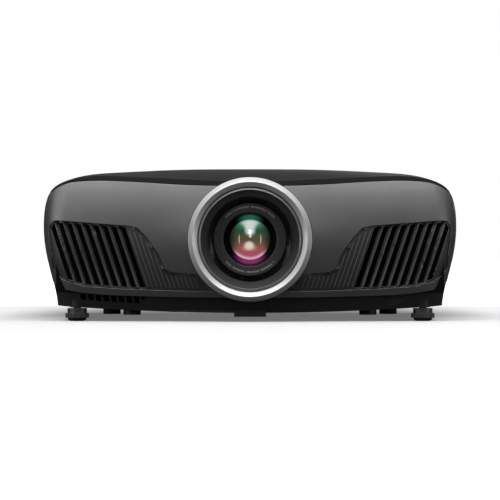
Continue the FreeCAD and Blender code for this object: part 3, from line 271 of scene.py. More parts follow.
def finish(name, colour, rough=0.5, metal=0.0, mottle=0.12, grain=0.10, grains=1800.0,
           edge=0.35, radius=0.0006, dust=0.10, coat=0.0, specular=0.5, glow=0.0):
    """A solid finish: mottled colour and gloss, a grain bump, edges with a painted highlight, and a touch
    of dust.
    """
    material = bpy.data.materials.new(name)
    material.use_nodes = True
    tree = material.node_tree
    link = tree.links.new
    shader = tree.nodes["Principled BSDF"]
    shader.inputs["Metallic"].default_value = metal
    shader.inputs["Coat Weight"].default_value = coat
    shader.inputs["Coat Roughness"].default_value = 0.12
    shader.inputs["Specular IOR Level"].default_value = specular
    shader.inputs["Emission Color"].default_value = (1, 1, 1, 1)
    shader.inputs["Emission Strength"].default_value = glow
    grainy = place_group(tree, GRAIN, Grains_per_metre=grains)
    edges = place_group(tree, EDGES, Radius=radius)
    dusty = place_group(tree, DUST, Amount=dust)

    shade = tree.nodes.new("ShaderNodeMix")
    shade.data_type = "RGBA"
    shade.inputs["A"].default_value = [c * (1 - mottle) for c in colour[:3]] + [1]
    shade.inputs["B"].default_value = [min(c * (1 + mottle), 1) for c in colour[:3]] + [1]
    link(grainy.outputs["Mottle"], shade.inputs["Factor"])

    # Edges are lightened in colour: a painted highlight where the rounded edges catch light.
    painted_edge_highlight = tree.nodes.new("ShaderNodeMix")
    painted_edge_highlight.data_type = "RGBA"
    painted_edge_highlight.inputs["B"].default_value = [min(c * (1 + edge * 2) + 0.02 * edge, 1) for c in colour[:3]] + [1]
    link(edges.outputs["Edge"], painted_edge_highlight.inputs["Factor"])
    link(shade.outputs["Result"], painted_edge_highlight.inputs["A"])

    dusted = tree.nodes.new("ShaderNodeMix")
    dusted.data_type = "RGBA"
    dusted.inputs["B"].default_value = (0.30, 0.29, 0.27, 1)
    link(dusty.outputs["Dust"], dusted.inputs["Factor"])
    link(painted_edge_highlight.outputs["Result"], dusted.inputs["A"])
    link(dusted.outputs["Result"], shader.inputs["Base Color"])

    gloss = tree.nodes.new("ShaderNodeMapRange")
    gloss.inputs["To Min"].default_value = max(rough - 0.05, 0.02)
    gloss.inputs["To Max"].default_value = min(rough + 0.07, 1.0)
    link(grainy.outputs["Mottle"], gloss.inputs["Value"])
    link(gloss.outputs["Result"], shader.inputs["Roughness"])

    bump = tree.nodes.new("ShaderNodeBump")
    bump.inputs["Strength"].default_value = grain
    bump.inputs["Distance"].default_value = 0.0002
    link(grainy.outputs["Height"], bump.inputs["Height"])
    link(edges.outputs["Normal"], bump.inputs["Normal"])
    link(bump.outputs["Normal"], shader.inputs["Normal"])
    return material


def dress(node, material):
    """Give a carried-over CAD node a finish."""
    obj = nodes[node]
    obj.data.materials.clear()
    obj.data.materials.append(material)


def add_piece(obj, material, body, slot, *stands_for):
    """Finish a new piece, ride it on its body, and hide the CAD nodes it stands for."""
    obj.data.materials.clear()
    obj.data.materials.append(material)
    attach(obj, body)
    if stands_for:
        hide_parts(*stands_for)
    print("piece:", obj.name, len(obj.data.polygons), "faces")
    return obj


# %% [markdown]
# ## Finishes for the case and its insides
# The top cover and the lower case are matte black plastic. The front panel is painted in a dark metallic
# grey, which the light takes from pale at its leaning top to nearly black where it turns under.

# %% The finishes
case_black = finish("case_black_plastic", (0.013, 0.013, 0.0135), rough=0.62, grain=0.16, dust=0.01,
                    specular=0.10)
under_black = finish("lower_case_plastic", (0.022, 0.022, 0.0225), rough=0.50, grain=0.16, specular=0.35)
gunmetal = finish("gunmetal_paint", (0.235, 0.235, 0.24), rough=0.34, metal=0.95, mottle=0.03,
                  grain=0.05, grains=3200, edge=0.15, dust=0.0)
silver = finish("satin_silver", (0.62, 0.62, 0.615), rough=0.38, metal=0.45, mottle=0.03, grain=0.05,
                grains=2600, edge=0.1, dust=0.0)
funnel_black = finish("funnel_plastic", (0.036, 0.036, 0.036), rough=0.42, grain=0.12, specular=0.5)
lip_grey = finish("funnel_lip_satin", (0.26, 0.26, 0.26), rough=0.38, metal=0.8, grain=0.06)
# The index marks also glow a little: painted light that keeps them bright in the shaded funnel.
mark_white = finish("index_mark_paint", (0.80, 0.80, 0.80), rough=0.6, grain=0.05, radius=0.0001,
                    glow=0.22)
# Near-black screen finish: painted shade that stands for the dark inside the louvres and the vent.
screen_black = finish("shade_screen_mesh", (0.003, 0.003, 0.003), rough=0.9, grain=0.4, grains=1200,
                      specular=0.1, radius=0.0001)
rib_grey = finish("plate_rib_plastic", (0.16, 0.16, 0.163), rough=0.42, metal=0.4, grain=0.05,
                  radius=0.0003)
# The grille's blade edges carry a strong painted highlight.
grille_black = finish("grille_plastic", (0.058, 0.058, 0.060), rough=0.38, metal=0.5, grain=0.08, edge=0.9)
lens_black = finish("lens_anodised", (0.012, 0.012, 0.013), rough=0.40, metal=0.3, grain=0.06)
# The bezel's grey is partly painted light: it is lighter than the anodised metal, to make up for light that
# the funnel keeps off it.
bezel_grey = finish("lens_bezel", (0.15, 0.15, 0.152), rough=0.42, metal=0.3, grain=0.06)
rear_black = finish("rear_plastic", (0.020, 0.020, 0.022), rough=0.5, grain=0.2, grains=1400)
rubber = finish("foot_rubber", (0.015, 0.015, 0.015), rough=0.85, grain=0.3, grains=900, specular=0.3)
nickel = finish("socket_nickel", (0.62, 0.60, 0.56), rough=0.24, metal=1.0, mottle=0.06, dust=0.0)
inlet_black = finish("inlet_plastic", (0.010, 0.010, 0.011), rough=0.22, grain=0.03, dust=0.02)
ir_window = finish("infrared_window", (0.05, 0.004, 0.006), rough=0.08, mottle=0.05, grain=0.0, dust=0.0,
                   coat=0.8)
frame_grey = finish("optics_housing", (0.14, 0.14, 0.14), rough=0.5)
steel = finish("carriage_steel", (0.45, 0.45, 0.46), rough=0.34, metal=1.0)
board = finish("board_lacquer", (0.012, 0.075, 0.030), rough=0.35, mottle=0.25, grain=0.1, grains=500)
brass = finish("bush_brass", (0.62, 0.45, 0.20), rough=0.3, metal=1.0)
screw_black = finish("screw_black", (0.02, 0.02, 0.021), rough=0.3, metal=0.8, edge=0.8)
button_grey = finish("button_plastic", (0.14, 0.14, 0.145), rough=0.45)
pleats = finish("filter_fleece", (0.32, 0.32, 0.31), rough=0.95, mottle=0.2, grain=0.6, grains=900)
tray = finish("lamp_tray_plastic", (0.20, 0.19, 0.17), rough=0.5)
prism_glass = finish("prism_coated", (0.20, 0.26, 0.30), rough=0.08, mottle=0.1, grain=0.0, coat=1.0)
print("finishes:", len(bpy.data.materials))

# %% [markdown]
# ## The painted reflections in the glass
# A coated lens throws back a part of the light in the colour of its coatings, so the stack of elements
# shows green above, rust in the middle and magenta below. Here these reflections and their white highlights
# are painted into the glass colour, which also glows; the colours are laid over one another with soft
# masks, which are made from the distance across, up and out from the lens axis.

# %% Masks for the glass
def mapped(tree, value, low, high):
    """Nought at low, one at high, with a smooth ramp between."""
    ramp = tree.nodes.new("ShaderNodeMapRange")
    ramp.interpolation_type = "SMOOTHSTEP"
    ramp.inputs["From Min"].default_value = low * MM
    ramp.inputs["From Max"].default_value = high * MM
    tree.links.new(value, ramp.inputs["Value"])
    return ramp.outputs["Result"]


def product(tree, *values):
    result = values[0]
    for value in values[1:]:
        step = tree.nodes.new("ShaderNodeMath")
        step.operation = "MULTIPLY"
        tree.links.new(result, step.inputs[0])
        tree.links.new(value, step.inputs[1])
        result = step.outputs["Value"]
    return result


def over(tree, colour, mask, shade):
    """Lay a shade over a colour where the mask is one."""
    blend = tree.nodes.new("ShaderNodeMix")
    blend.data_type = "RGBA"
    blend.inputs["B"].default_value = shade + (1,)
    tree.links.new(mask, blend.inputs["Factor"])
    tree.links.new(colour, blend.inputs["A"])
    return blend.outputs["Result"]


def lens_axes(tree):
    """Across, up and out from the lens axis, in metres, from the piece's own coordinates."""
    coords = tree.nodes.new("ShaderNodeTexCoord")
    shift = tree.nodes.new("ShaderNodeVectorMath")
    shift.operation = "MULTIPLY_ADD"
    shift.inputs[1].default_value = (1, 0, 1)
    shift.inputs[2].default_value = (0, 0, -LENS_LEVEL * MM)
    split = tree.nodes.new("ShaderNodeSeparateXYZ")
    reach = tree.nodes.new("ShaderNodeVectorMath")
    reach.operation = "LENGTH"
    side = tree.nodes.new("ShaderNodeMath")
    side.operation = "ABSOLUTE"
    tree.links.new(coords.outputs["Object"], shift.inputs[0])
    tree.links.new(shift.outputs["Vector"], split.inputs["Vector"])
    tree.links.new(shift.outputs["Vector"], reach.inputs[0])
    tree.links.new(split.outputs["X"], side.inputs[0])
    return shift.outputs["Vector"], side.outputs["Value"], split.outputs["Z"], reach.outputs["Value"]


def soft_spot(tree, flat, middle, reach, squash=1.0):
    """One at a point in millimetres, fading to nought at its reach; squash makes it less high."""
    scale = tree.nodes.new("ShaderNodeVectorMath")
    scale.operation = "MULTIPLY"
    scale.inputs[1].default_value = (1, 1, squash)
    away = tree.nodes.new("ShaderNodeVectorMath")
    away.operation = "DISTANCE"
    away.inputs[1].default_value = (middle[0] * MM, 0, middle[1] * MM * squash)
    tree.links.new(flat, scale.inputs[0])
    tree.links.new(scale.outputs["Vector"], away.inputs[0])
    return mapped(tree, away.outputs["Value"], reach, reach * 0.25)


# %% Clear front element with painted reflections on its rim
GLASS_RADIUS = 33.0
CLEAR_RADIUS = 24.8
BLACK = (0.0, 0.0, 0.0)
DEEP_MAGENTA = (0.30, 0.035, 0.17)
DEEP_GREEN = (0.03, 0.17, 0.11)


def front_element_painted_rim():
    """See-through in the middle; its rim carries painted reflections, green above and magenta below, which
    glow.
    """
    material = bpy.data.materials.new("front_glass_painted_rim")
    material.use_nodes = True
    tree = material.node_tree
    link = tree.links.new
    shader = tree.nodes["Principled BSDF"]
    out = tree.nodes["Material Output"]
    flat, side, up, reach = lens_axes(tree)
    clear = tree.nodes.new("ShaderNodeBsdfTransparent")
    smudge = tree.nodes.new("ShaderNodeTexNoise")
    smudge.inputs["Scale"].default_value = 60.0
    tint = tree.nodes.new("ShaderNodeMix")
    tint.data_type = "RGBA"
    tint.inputs["A"].default_value = (0.90, 0.93, 0.91, 1)
    tint.inputs["B"].default_value = (0.95, 0.94, 0.95, 1)
    ground = tree.nodes.new("ShaderNodeRGB")
    ground.outputs[0].default_value = BLACK + (1,)
    # Painted reflections: magenta below and green above on the rim, black elsewhere and at the outer edge.
    below = product(tree, mapped(tree, up, -10, -24), mapped(tree, side, 24, 6))
    above = product(tree, mapped(tree, up, 16, 26), mapped(tree, side, 19, 2))
    colour = over(tree, ground.outputs[0], below, DEEP_MAGENTA)
    colour = over(tree, colour, above, DEEP_GREEN)
    colour = over(tree, colour, mapped(tree, reach, GLASS_RADIUS - 4.0, GLASS_RADIUS), BLACK)
    link(colour, shader.inputs["Base Color"])
    link(colour, shader.inputs["Emission Color"])
    # The painted reflections also glow.
    shader.inputs["Emission Strength"].default_value = 0.55
    shader.inputs["Roughness"].default_value = 0.06
    shader.inputs["Coat Weight"].default_value = 0.6
    rim = mapped(tree, reach, CLEAR_RADIUS, CLEAR_RADIUS + 1.4)
    mirror = tree.nodes.new("ShaderNodeBsdfGlossy")
    mirror.inputs["Roughness"].default_value = 0.03
    mirror.inputs["Color"].default_value = (0.8, 1.0, 0.9, 1)
    see = tree.nodes.new("ShaderNodeMixShader")
    see.inputs["Fac"].default_value = 0.06
    both = tree.nodes.new("ShaderNodeMixShader")
    link(flat, smudge.inputs["Vector"])
    link(smudge.outputs["Fac"], tint.inputs["Factor"])
    link(tint.outputs["Result"], clear.inputs["Color"])
    link(clear.outputs["BSDF"], see.inputs[1])
    link(mirror.outputs["BSDF"], see.inputs[2])
    link(rim, both.inputs["Fac"])
    link(see.outputs["Shader"], both.inputs[1])
    link(shader.outputs["BSDF"], both.inputs[2])
    link(both.outputs["Shader"], out.inputs["Surface"])
    return material


clear_glass = front_element_painted_rim()
print("glass:", clear_glass.name)

# %% Coated elements behind it, with painted reflections and highlights
STACK_RADIUS = 25.2
ARC_RADIUS = 13.6
# Colours of the painted reflections and highlights in the coated elements.
OLIVE = (0.075, 0.085, 0.045)
RUST_RED_REFLECTION = (0.20, 0.11, 0.07)
BRICK = (0.42, 0.12, 0.10)
CERISE = (0.60, 0.10, 0.20)
BOTTLE_GREEN = (0.022, 0.095, 0.045)
SEA_GREEN = (0.06, 0.34, 0.22)
ROSE = (1.0, 0.66, 0.76)
STRAW = (0.70, 0.78, 0.50)
COOL_WHITE = (0.95, 1.0, 0.97)
SALMON = (0.74, 0.34, 0.26)
CREAM = (1.0, 0.82, 0.66)
WARM_WHITE = (1.0, 0.96, 0.88)
DARK_EDGE = (0.018, 0.024, 0.018)
# middle of each painted highlight, how far it reaches, how much it is flattened, and its colour
PAINTED_HIGHLIGHTS = [
    ((0, 21.0), 15, 2.8, COOL_WHITE), ((0, 17.5), 11, 1.7, COOL_WHITE),
    ((0, 11.5), 9.0, 1.0, COOL_WHITE), ((0.3, 4.0), 2.6, 1.0, COOL_WHITE),
    ((-1.0, -11.0), 13.0, 2.4, SALMON), ((-1.0, -8.0), 9.0, 1.2, CREAM),
    ((-1.0, -7.5), 6.0, 1.0, WARM_WHITE),
]


def painted_stack_reflections():
    """Painted reflections and highlights of the coated elements: green above, rust in the middle, a pink
    crescent below.
    """
    material = bpy.data.materials.new("coated_stack_painted_reflections")
    material.use_nodes = True
    tree = material.node_tree
    link = tree.links.new
    shader = tree.nodes["Principled BSDF"]
    flat, side, up, reach = lens_axes(tree)
    streaks = tree.nodes.new("ShaderNodeTexNoise")
    streaks.inputs["Scale"].default_value = 120.0
    stretch = tree.nodes.new("ShaderNodeVectorMath")
    stretch.operation = "MULTIPLY"
    stretch.inputs[1].default_value = (0.35, 1, 1.6)
    link(flat, stretch.inputs[0])
    link(stretch.outputs["Vector"], streaks.inputs["Vector"])
    ground = tree.nodes.new("ShaderNodeMix")
    ground.data_type = "RGBA"
    ground.inputs["A"].default_value = OLIVE + (1,)
    ground.inputs["B"].default_value = RUST_RED_REFLECTION + (1,)
    link(streaks.outputs["Fac"], ground.inputs["Factor"])
    crown = product(tree, mapped(tree, up, 10, 20), mapped(tree, side, 21, 6))
    crescent = product(tree, mapped(tree, reach, STACK_RADIUS - 4.7, STACK_RADIUS),
                       mapped(tree, up, -9, -21))
    arcs = product(tree, mapped(tree, reach, ARC_RADIUS - 1.0, ARC_RADIUS),
                   mapped(tree, reach, ARC_RADIUS + 1.6, ARC_RADIUS + 0.2),
                   mapped(tree, side, ARC_RADIUS - 1.0, ARC_RADIUS))
    colour = over(tree, ground.outputs["Result"], mapped(tree, up, -1, -13), BRICK)
    colour = over(tree, colour, mapped(tree, up, -11, -21), CERISE)
    colour = over(tree, colour, mapped(tree, up, 1, 11), BOTTLE_GREEN)
    colour = over(tree, colour, crown, SEA_GREEN)
    colour = over(tree, colour, crescent, ROSE)
    colour = over(tree, colour, arcs, STRAW)
    for middle, size, squash, shade in PAINTED_HIGHLIGHTS:
        colour = over(tree, colour, soft_spot(tree, flat, middle, size, squash), shade)
    # Painted shade: the stack darkens towards its left and right edges.
    colour = over(tree, colour, mapped(tree, side, 14, STACK_RADIUS - 0.2), DARK_EDGE)
    link(colour, shader.inputs["Base Color"])
    link(colour, shader.inputs["Emission Color"])
    # The painted reflections and highlights glow.
    shader.inputs["Emission Strength"].default_value = 0.80
    shader.inputs["Roughness"].default_value = 0.12
    shader.inputs["Coat Weight"].default_value = 1.0
    shader.inputs["Coat Roughness"].default_value = 0.03
    return material


coated_glass = painted_stack_reflections()
print("glass:", coated_glass.name)

# %% Which node takes which finish
FINISHES = {
    case_black: ["upper_case", "lamp_door", "control_cover", "filter_door"],
    under_black: ["lower_case"],
    gunmetal: ["front_panel"],
    silver: ["lens_trim_ring"],
    funnel_black: ["lens_funnel", "shutter_track", "left_foot", "right_foot", "filter_knob"],
    grille_black: ["left_louvre_grille", "right_louvre_grille"],
    lens_black: ["lens_barrel", "focus_ring", "zoom_ring", "zoom_lens_cell", "shutter_left",
                 "shutter_right", "iris_flag"],
    bezel_grey: ["front_lens_cell"],
    rear_black: ["rear_panel", "control_plate", "fan_frame", "exhaust_rotor", "blower_housing",
                 "blower_rotor"],
    rubber: ["rear_feet", "left_foot_pad", "right_foot_pad"],
    nickel: ["signal_sockets"],
    inlet_black: ["power_inlet", "lcd_panels"],
    ir_window: ["indicator_windows"],
    frame_grey: ["optical_housing"],
    steel: ["lens_shift_frame", "vertical_carriage", "horizontal_carriage", "lens_motors", "lamp_ballast"],
    board: ["power_supply_board", "main_board"],
    brass: ["mount_bushes"],
    screw_black: ["case_screws"],
    button_grey: [name for name in nodes if name.endswith("_button")],
    pleats: ["air_filter"],
    tray: ["lamp_cartridge"],
    prism_glass: ["cross_prism", "light_path_optics", "front_lens_glass", "inner_lens_glass"],
}
for material, names in FINISHES.items():
    for name in names:
        dress(name, material)
dressed = {name for names in FINISHES.values() for name in names}
print("dressed:", len(dressed), "left plain:", sorted(set(nodes) - dressed))

# %% [markdown]
# ## The trim ring and the funnel
# The ring is turned aluminium with two facets that meet in a ridge. The funnel behind it is a moulded cone
# with a thin bright lip. All are round about the lens axis, so each is one circle extruded along a profile
# of depths and radii.

# %% Trim ring, funnel and its lip
ring_profile = [(-184, 77.25), (-216.6, 77.25), (-217.4, 76.7), (-224.4, 71.9), (-225, 71.2),
                (-224.5, 70.5), (-221.2, 66.0), (-220.4, 65.4), (-203, 65.4), (-203, 73.65),
                (-184, 73.65)]
ring = soften(turned("trim_ring", ring_profile, segments=160), 0.00025, 2, 20)
add_piece(ring, silver, "case", "trim_silver", "lens_trim_ring")

funnel_profile = [(-184.8, 53), (-196, 53), (-207.5, 56.9), (-219.2, 61.3), (-219.2, 64.6),
                  (-201.5, 64.6), (-201.5, 73.25), (-199.5, 73.25), (-199.5, 57), (-184.8, 55)]
funnel = soften(turned("lens_funnel_cone", funnel_profile, segments=160), 0.0003, 2, 20)
add_piece(funnel, funnel_black, "case", "funnel_black", "lens_funnel")

lip_profile = [(-219.2, 64.5), (-219.6, 64.5), (-221.0, 62.1), (-221.2, 61.7), (-220.8, 61.4),
               (-219.2, 61.4)]
lip = soften(turned("lens_funnel_lip", lip_profile, segments=160), 0.0002, 2, 20)
add_piece(lip, lip_grey, "case", "funnel_black")

# %% [markdown]
# ## The front of the lens
# The front cell is an anodised ring with a shallow cone around the glass. On the real lens the cone carries
# printing; here it carries plain index marks instead. Each mark is a small bar that leans with the cone and
# is turned to its place about the lens axis.

# %% Front cell and its index marks
CONE_FRONT, CONE_INNER = -170.7, 36.0
CONE_BACK, CONE_OUTER = -169.0, 44.6
cell_profile = [(-168.2, 46), (-163, 46), (-163, 34.2), (-129, 34.2), (-129, 31), (-160.5, 31),
                (-160.5, 33.3), (-169.4, 33.3), (-170.9, 34.6), (-171.0, 35.0),
                (CONE_FRONT, CONE_INNER), (CONE_BACK, CONE_OUTER), (-168.9, 45.0), (-168.8, 45.6)]
cell = soften(turned("front_cell", cell_profile, segments=144), 0.00015, 2, 20)
add_piece(cell, bezel_grey, "front_group", "lens_black", "front_lens_cell")

mark_radius = 41.0
cone_slope = (CONE_BACK - CONE_FRONT) / (CONE_OUTER - CONE_INNER)
mark_depth = CONE_FRONT + cone_slope * (mark_radius - CONE_INNER)
mark_lean = -0.195
marks = []
for first, last, count in ((-46, 46, 27), (134, 226, 33)):
    for index in range(count):
        if index % 9 == 4:
            continue
        angle = radians(first + (last - first) * index / (count - 1))
        height = 1.7 if index % 3 else 2.4
        mark = bar((0.55, 0.3, height), (0, mark_depth, LENS_LEVEL + mark_radius), (mark_lean, 0, 0))
        take(mark)
        bpy.ops.transform.rotate(value=angle, orient_axis="Y", center_override=Vector(AXIS) * MM)
        marks.append(mark)
add_piece(join(marks, "index_marks"), mark_white, "front_group", "lens_black")

# %% [markdown]
# ## The glass
# Each element is a domed lens with a flat back, made from one circle that is extruded ring by ring. The
# front one is clear in the middle, and the coated one behind it moves with the zoom group.

# %% Domed elements
def dome(name, rim, front, back, bulge, rings=9):
    """A flat back, a short edge and a ball-shaped front, whose radius is the bulge."""
    profile = [(back, rim)]
    for index in range(rings):
        radius = rim * cos(index / (rings - 1) * pi / 2)
        radius = max(radius, 0.4)
        profile.append((front + bulge - sqrt(bulge ** 2 - radius ** 2), radius))
    element = turned(name, profile, segments=96, closed=False)
    take(element)
    bpy.ops.object.shade_smooth_by_angle(angle=radians(30))
    return element


front_glass = dome("front_glass", 33.2, -170, -160.6, 80)
add_piece(front_glass, clear_glass, "front_group", "glass_clear", "front_lens_glass")

inner_glass = dome("coated_glass", 25.7, -133, -125, 60)
add_piece(inner_glass, coated_glass, "zoom_group", "glass_clear", "inner_lens_glass")

# %% [markdown]
# ## The louvres
# Each blade is a fin whose face turns away from the lens, so its outer edge catches the light while the
# rest falls into shade. The grille is copied, and the inner edge of every blade is pushed back.

# %% Louvre blades with turned faces
PITCH, SLOT, SLANT = 11.0, 6.2, tan(radians(18.5))
FIRST_SLOT, SLOT_LEVEL, LAST_BLADE = 146.5, 82.0, 7
FACE_DEPTH, PUSH_BACK, PUSH_STEPS = 0.0022, 0.0042, 4
EYE_SIDE = -0.4


def slot_line(index, level):
    """How far from the middle a slot's centre line lies at a height, in millimetres."""
    return FIRST_SLOT + PITCH * index + SLANT * (level - SLOT_LEVEL)


def front_of(obj, x, z):
    """Where a ray from the front meets a node, in metres."""
    hit, place, _, _ = obj.ray_cast(Vector((x, EYE_SIDE, z)), Vector((0, 1, 0)))
    return place.y if hit else None


def turned_blades(node, side, name):
    """A copy of a grille with the inner part of every blade's face pushed back."""
    source = nodes[node]
    grille = source.copy()
    grille.data = source.data.copy()
    bpy.context.scene.collection.objects.link(grille)
    grille.parent = None
    take(grille)
    bpy.ops.object.mode_set(mode="EDIT")
    bpy.ops.mesh.select_mode(type="VERT")
    bpy.ops.mesh.select_all(action="SELECT")
    bpy.ops.mesh.remove_doubles(threshold=0.00001)
    bpy.ops.object.mode_set(mode="OBJECT")
    blade = PITCH - SLOT
    moved = 0
    for step in range(1, PUSH_STEPS + 1):
        chosen = []
        for vertex in grille.data.vertices:
            out, level = vertex.co.x * side / MM, vertex.co.z / MM
            index = int((out - slot_line(0, level)) / PITCH)
            if index < 0 or index > LAST_BLADE:
                continue
            share = 1 - (out - slot_line(index, level) - SLOT / 2) / blade
            if share < -0.02 or share > 1.02 or round(share * PUSH_STEPS) != step:
                continue
            inside = (slot_line(index, level) + SLOT / 2 + blade * 0.5) * side * MM
            face = front_of(source, inside, vertex.co.z)
            if face is not None and abs(vertex.co.y - face) < FACE_DEPTH:
                chosen.append(vertex.index)
        for vertex in grille.data.vertices:
            vertex.select = False
        for edge in grille.data.edges:
            edge.select = False
        for polygon in grille.data.polygons:
            polygon.select = False
        for index in chosen:
            grille.data.vertices[index].select = True
        moved += len(chosen)
        bpy.ops.object.mode_set(mode="EDIT")
        bpy.ops.transform.translate(value=(0, PUSH_BACK * step / PUSH_STEPS, 0))
        bpy.ops.object.mode_set(mode="OBJECT")
    print(name, "moved", moved, "of", len(grille.data.vertices))
    return settle(grille, name)


for side, label in ((-1, "left"), (1, "right")):
    grille = turned_blades(label + "_louvre_grille", side, label + "_louvres")
    take(grille)
    bpy.ops.object.shade_flat()
    add_piece(grille, grille_black, "case", "grille_grey", label + "_louvre_grille")

# %% [markdown]
# ## Ribs on the plates beside the louvres
# The plates between the louvres and the lens carry thin slanted ribs. Each rib is a strip that is
# projected onto the plate and then given its thickness, as a moulded rib follows its wall.

# %% Ribs
RIB_COUNT, FIRST_RIB, RIB_PITCH, RIB_FOOT, RIB_WIDTH = 13, -126.0, 5.6, 41.6, 0.00085
RIB_BASE = 40.0
PLATE = [(-150.5, 119.0), (-140, 117.1), (-128.6, 105.1), (-113.5, 83.7), (-106, 65.2), (-98, 61.7),
         (-40, 56.7), (-40, 40.4), (-134, 40.4)]


def inside_plate(x, z):
    """Whether a point lies on the left plate and clear of the trim ring."""
    if hypot(x, z - LENS_LEVEL) < 80.0:
        return False
    within = False
    for (x1, z1), (x2, z2) in zip(PLATE, PLATE[1:] + PLATE[:1]):
        if (z1 > z) != (z2 > z) and x < x1 + (x2 - x1) * (z - z1) / (z2 - z1):
            within = not within
    return within


def rib_top(foot):
    """How high a rib can run before it comes near the plate's edge."""
    level = RIB_BASE + 1.0
    while inside_plate(foot - SLANT * (level - RIB_BASE) + 2.0, level + 2.0):
        level += 0.5
    return level - 2.0


for side, label in ((-1, "left"), (1, "right")):
    strips = []
    for index in range(RIB_COUNT):
        foot = FIRST_RIB + RIB_PITCH * index
        low, high = RIB_FOOT, rib_top(foot)
        if high - low < 4:
            continue
        clear_selection()
        bpy.ops.mesh.primitive_grid_add(x_subdivisions=1, y_subdivisions=10, size=1, location=(0, 0, 0),
                                        rotation=(pi / 2, 0, 0))
        rib = bpy.context.object
        rib.scale = (RIB_WIDTH, (high - low) * MM, 1)
        bpy.ops.object.transform_apply(location=True, rotation=True, scale=True)
        middle = (low + high) / 2
        across = (foot - SLANT * (middle - RIB_BASE)) * MM * -side
        rib.location = (across, -0.28, middle * MM)
        rib.rotation_euler = (0, -side * atan2(-SLANT, 1), 0)
        strips.append(settle(rib, "rib"))
    ribs = join(strips, label + "_plate_ribs")
    wrap = ribs.modifiers.new("on the plate", "SHRINKWRAP")
    wrap.target = nodes[label + "_louvre_grille"]
    wrap.wrap_method = "PROJECT"
    wrap.use_project_x = False
    wrap.use_project_y = True
    wrap.use_negative_direction = True
    wrap.use_positive_direction = True
    bpy.ops.object.modifier_apply(modifier=wrap.name)
    thick = ribs.modifiers.new("thickness", "SOLIDIFY")
    thick.thickness = 0.0012
    thick.offset = 0.0
    bpy.ops.object.modifier_apply(modifier=thick.name)
    bpy.ops.object.mode_set(mode="EDIT")
    bpy.ops.mesh.select_all(action="SELECT")
    bpy.ops.mesh.normals_make_consistent(inside=False)
    bpy.ops.object.mode_set(mode="OBJECT")
    add_piece(ribs, rib_grey, "case", "grille_grey")

# %% [markdown]
# ## Shade screens
# Behind the louvres sits a fine screen that keeps lint out of the fans, painted near-black so that it also
# stands for the shade inside the openings. It is a thin upright sheet just behind the grille, which also
# hides the works, as they are hidden on the real machine.

# %% Screens behind the louvres and the vent
def shade_screen(name, left, right, low, high, depth):
    """An upright sheet across the back of an opening, in millimetres."""
    clear_selection()
    bpy.ops.mesh.primitive_grid_add(x_subdivisions=24, y_subdivisions=14, size=1, rotation=(pi / 2, 0, 0))
    sheet = bpy.context.object
    sheet.scale = ((right - left) * MM, (high - low) * MM, 1)
    bpy.ops.object.transform_apply(location=True, rotation=True, scale=True)
    sheet.location = ((left + right) / 2 * MM, depth * MM, (low + high) / 2 * MM)
    settle(sheet, name)
    thick = sheet.modifiers.new("thickness", "SOLIDIFY")
    thick.thickness = 0.0008
    bpy.ops.object.modifier_apply(modifier=thick.name)
    return sheet


for side, label in ((-1, "left"), (1, "right")):
    near, far = sorted((side * 128, side * 243))
    sheet = shade_screen(label + "_shade_screen", near, far, 36, 124, -182.0)
    add_piece(sheet, screen_black, "case", "grille_grey")
# The vent's screen is painted shade as well.
vent_sheet = shade_screen("vent_shade_screen", -222, -126, 21, 37, -172)
add_piece(vent_sheet, screen_black, "case", "grille_grey")

# %% [markdown]
# ## Studio
# A pale floor, a broad soft light overhead, a paler one from the left, and small ones for the lens, the
# back and the lower corners. The world is bright above and darker at the horizon, which is what draws the
# soft gradient down the metallic front. The floor that is seen is paler than the floor that is mirrored,
# it carries a painted soft shadow beneath and behind the body, and it brightens far away.

# %% Floor
def studio_paper():
    """White paper: seen, it is pale with a painted soft shadow beneath the body; mirrored, it is dark."""
    paper_material = bpy.data.materials.new("studio_paper")
    paper_material.use_nodes = True
    tree = paper_material.node_tree
    link = tree.links.new
    paper = tree.nodes["Principled BSDF"]
    paper.inputs["Roughness"].default_value = 0.9
    paper.inputs["Specular IOR Level"].default_value = 0.05
    paper.inputs["Emission Color"].default_value = (1, 1, 1, 1)
    seen = tree.nodes.new("ShaderNodeLightPath").outputs["Is Camera Ray"]
    where = tree.nodes.new("ShaderNodeTexCoord").outputs["Object"]

    tone = tree.nodes.new("ShaderNodeMix")
    tone.data_type = "RGBA"
    tone.inputs["A"].default_value = (0.05, 0.05, 0.05, 1)
    tone.inputs["B"].default_value = (0.60, 0.60, 0.60, 1)
    link(seen, tone.inputs["Factor"])

    spread = tree.nodes.new("ShaderNodeSeparateXYZ")
    aside = tree.nodes.new("ShaderNodeMath")
    aside.operation = "ABSOLUTE"
    link(where, spread.inputs["Vector"])
    link(spread.outputs["X"], aside.inputs[0])
    depth = spread.outputs["Y"]
    # A soft shadow beneath and behind the body, painted into the colour that the camera sees.
    beneath = product(tree, mapped(tree, aside.outputs["Value"], 360, 190),
                      mapped(tree, depth, -120, 120), mapped(tree, depth, 760, 300))
    shadow = over(tree, tone.outputs["Result"], product(tree, beneath, seen), (0.12, 0.12, 0.12))
    link(shadow, paper.inputs["Base Color"])

    reach = tree.nodes.new("ShaderNodeVectorMath")
    reach.operation = "LENGTH"
    glow = tree.nodes.new("ShaderNodeMapRange")
    glow.inputs["From Min"].default_value = 0.62
    glow.inputs["From Max"].default_value = 1.3
    glow.inputs["To Min"].default_value = 0.16
    glow.inputs["To Max"].default_value = 1.0
    link(where, reach.inputs[0])
    link(reach.outputs["Value"], glow.inputs["Value"])
    link(product(tree, glow.outputs["Result"], seen), paper.inputs["Emission Strength"])
    return paper_material


clear_selection()
bpy.ops.mesh.primitive_plane_add(size=14, location=(0, 3, 0))
floor = settle(bpy.context.object, "studio_floor")
floor.data.materials.append(studio_paper())
print("floor:", floor.name)

# %% World
# height of a direction, and how bright the world is there
SKY = [(0.02, (0.035, 0.035, 0.036, 1)), (0.30, (0.16, 0.16, 0.16, 1)), (0.75, (1, 1, 1, 1))]


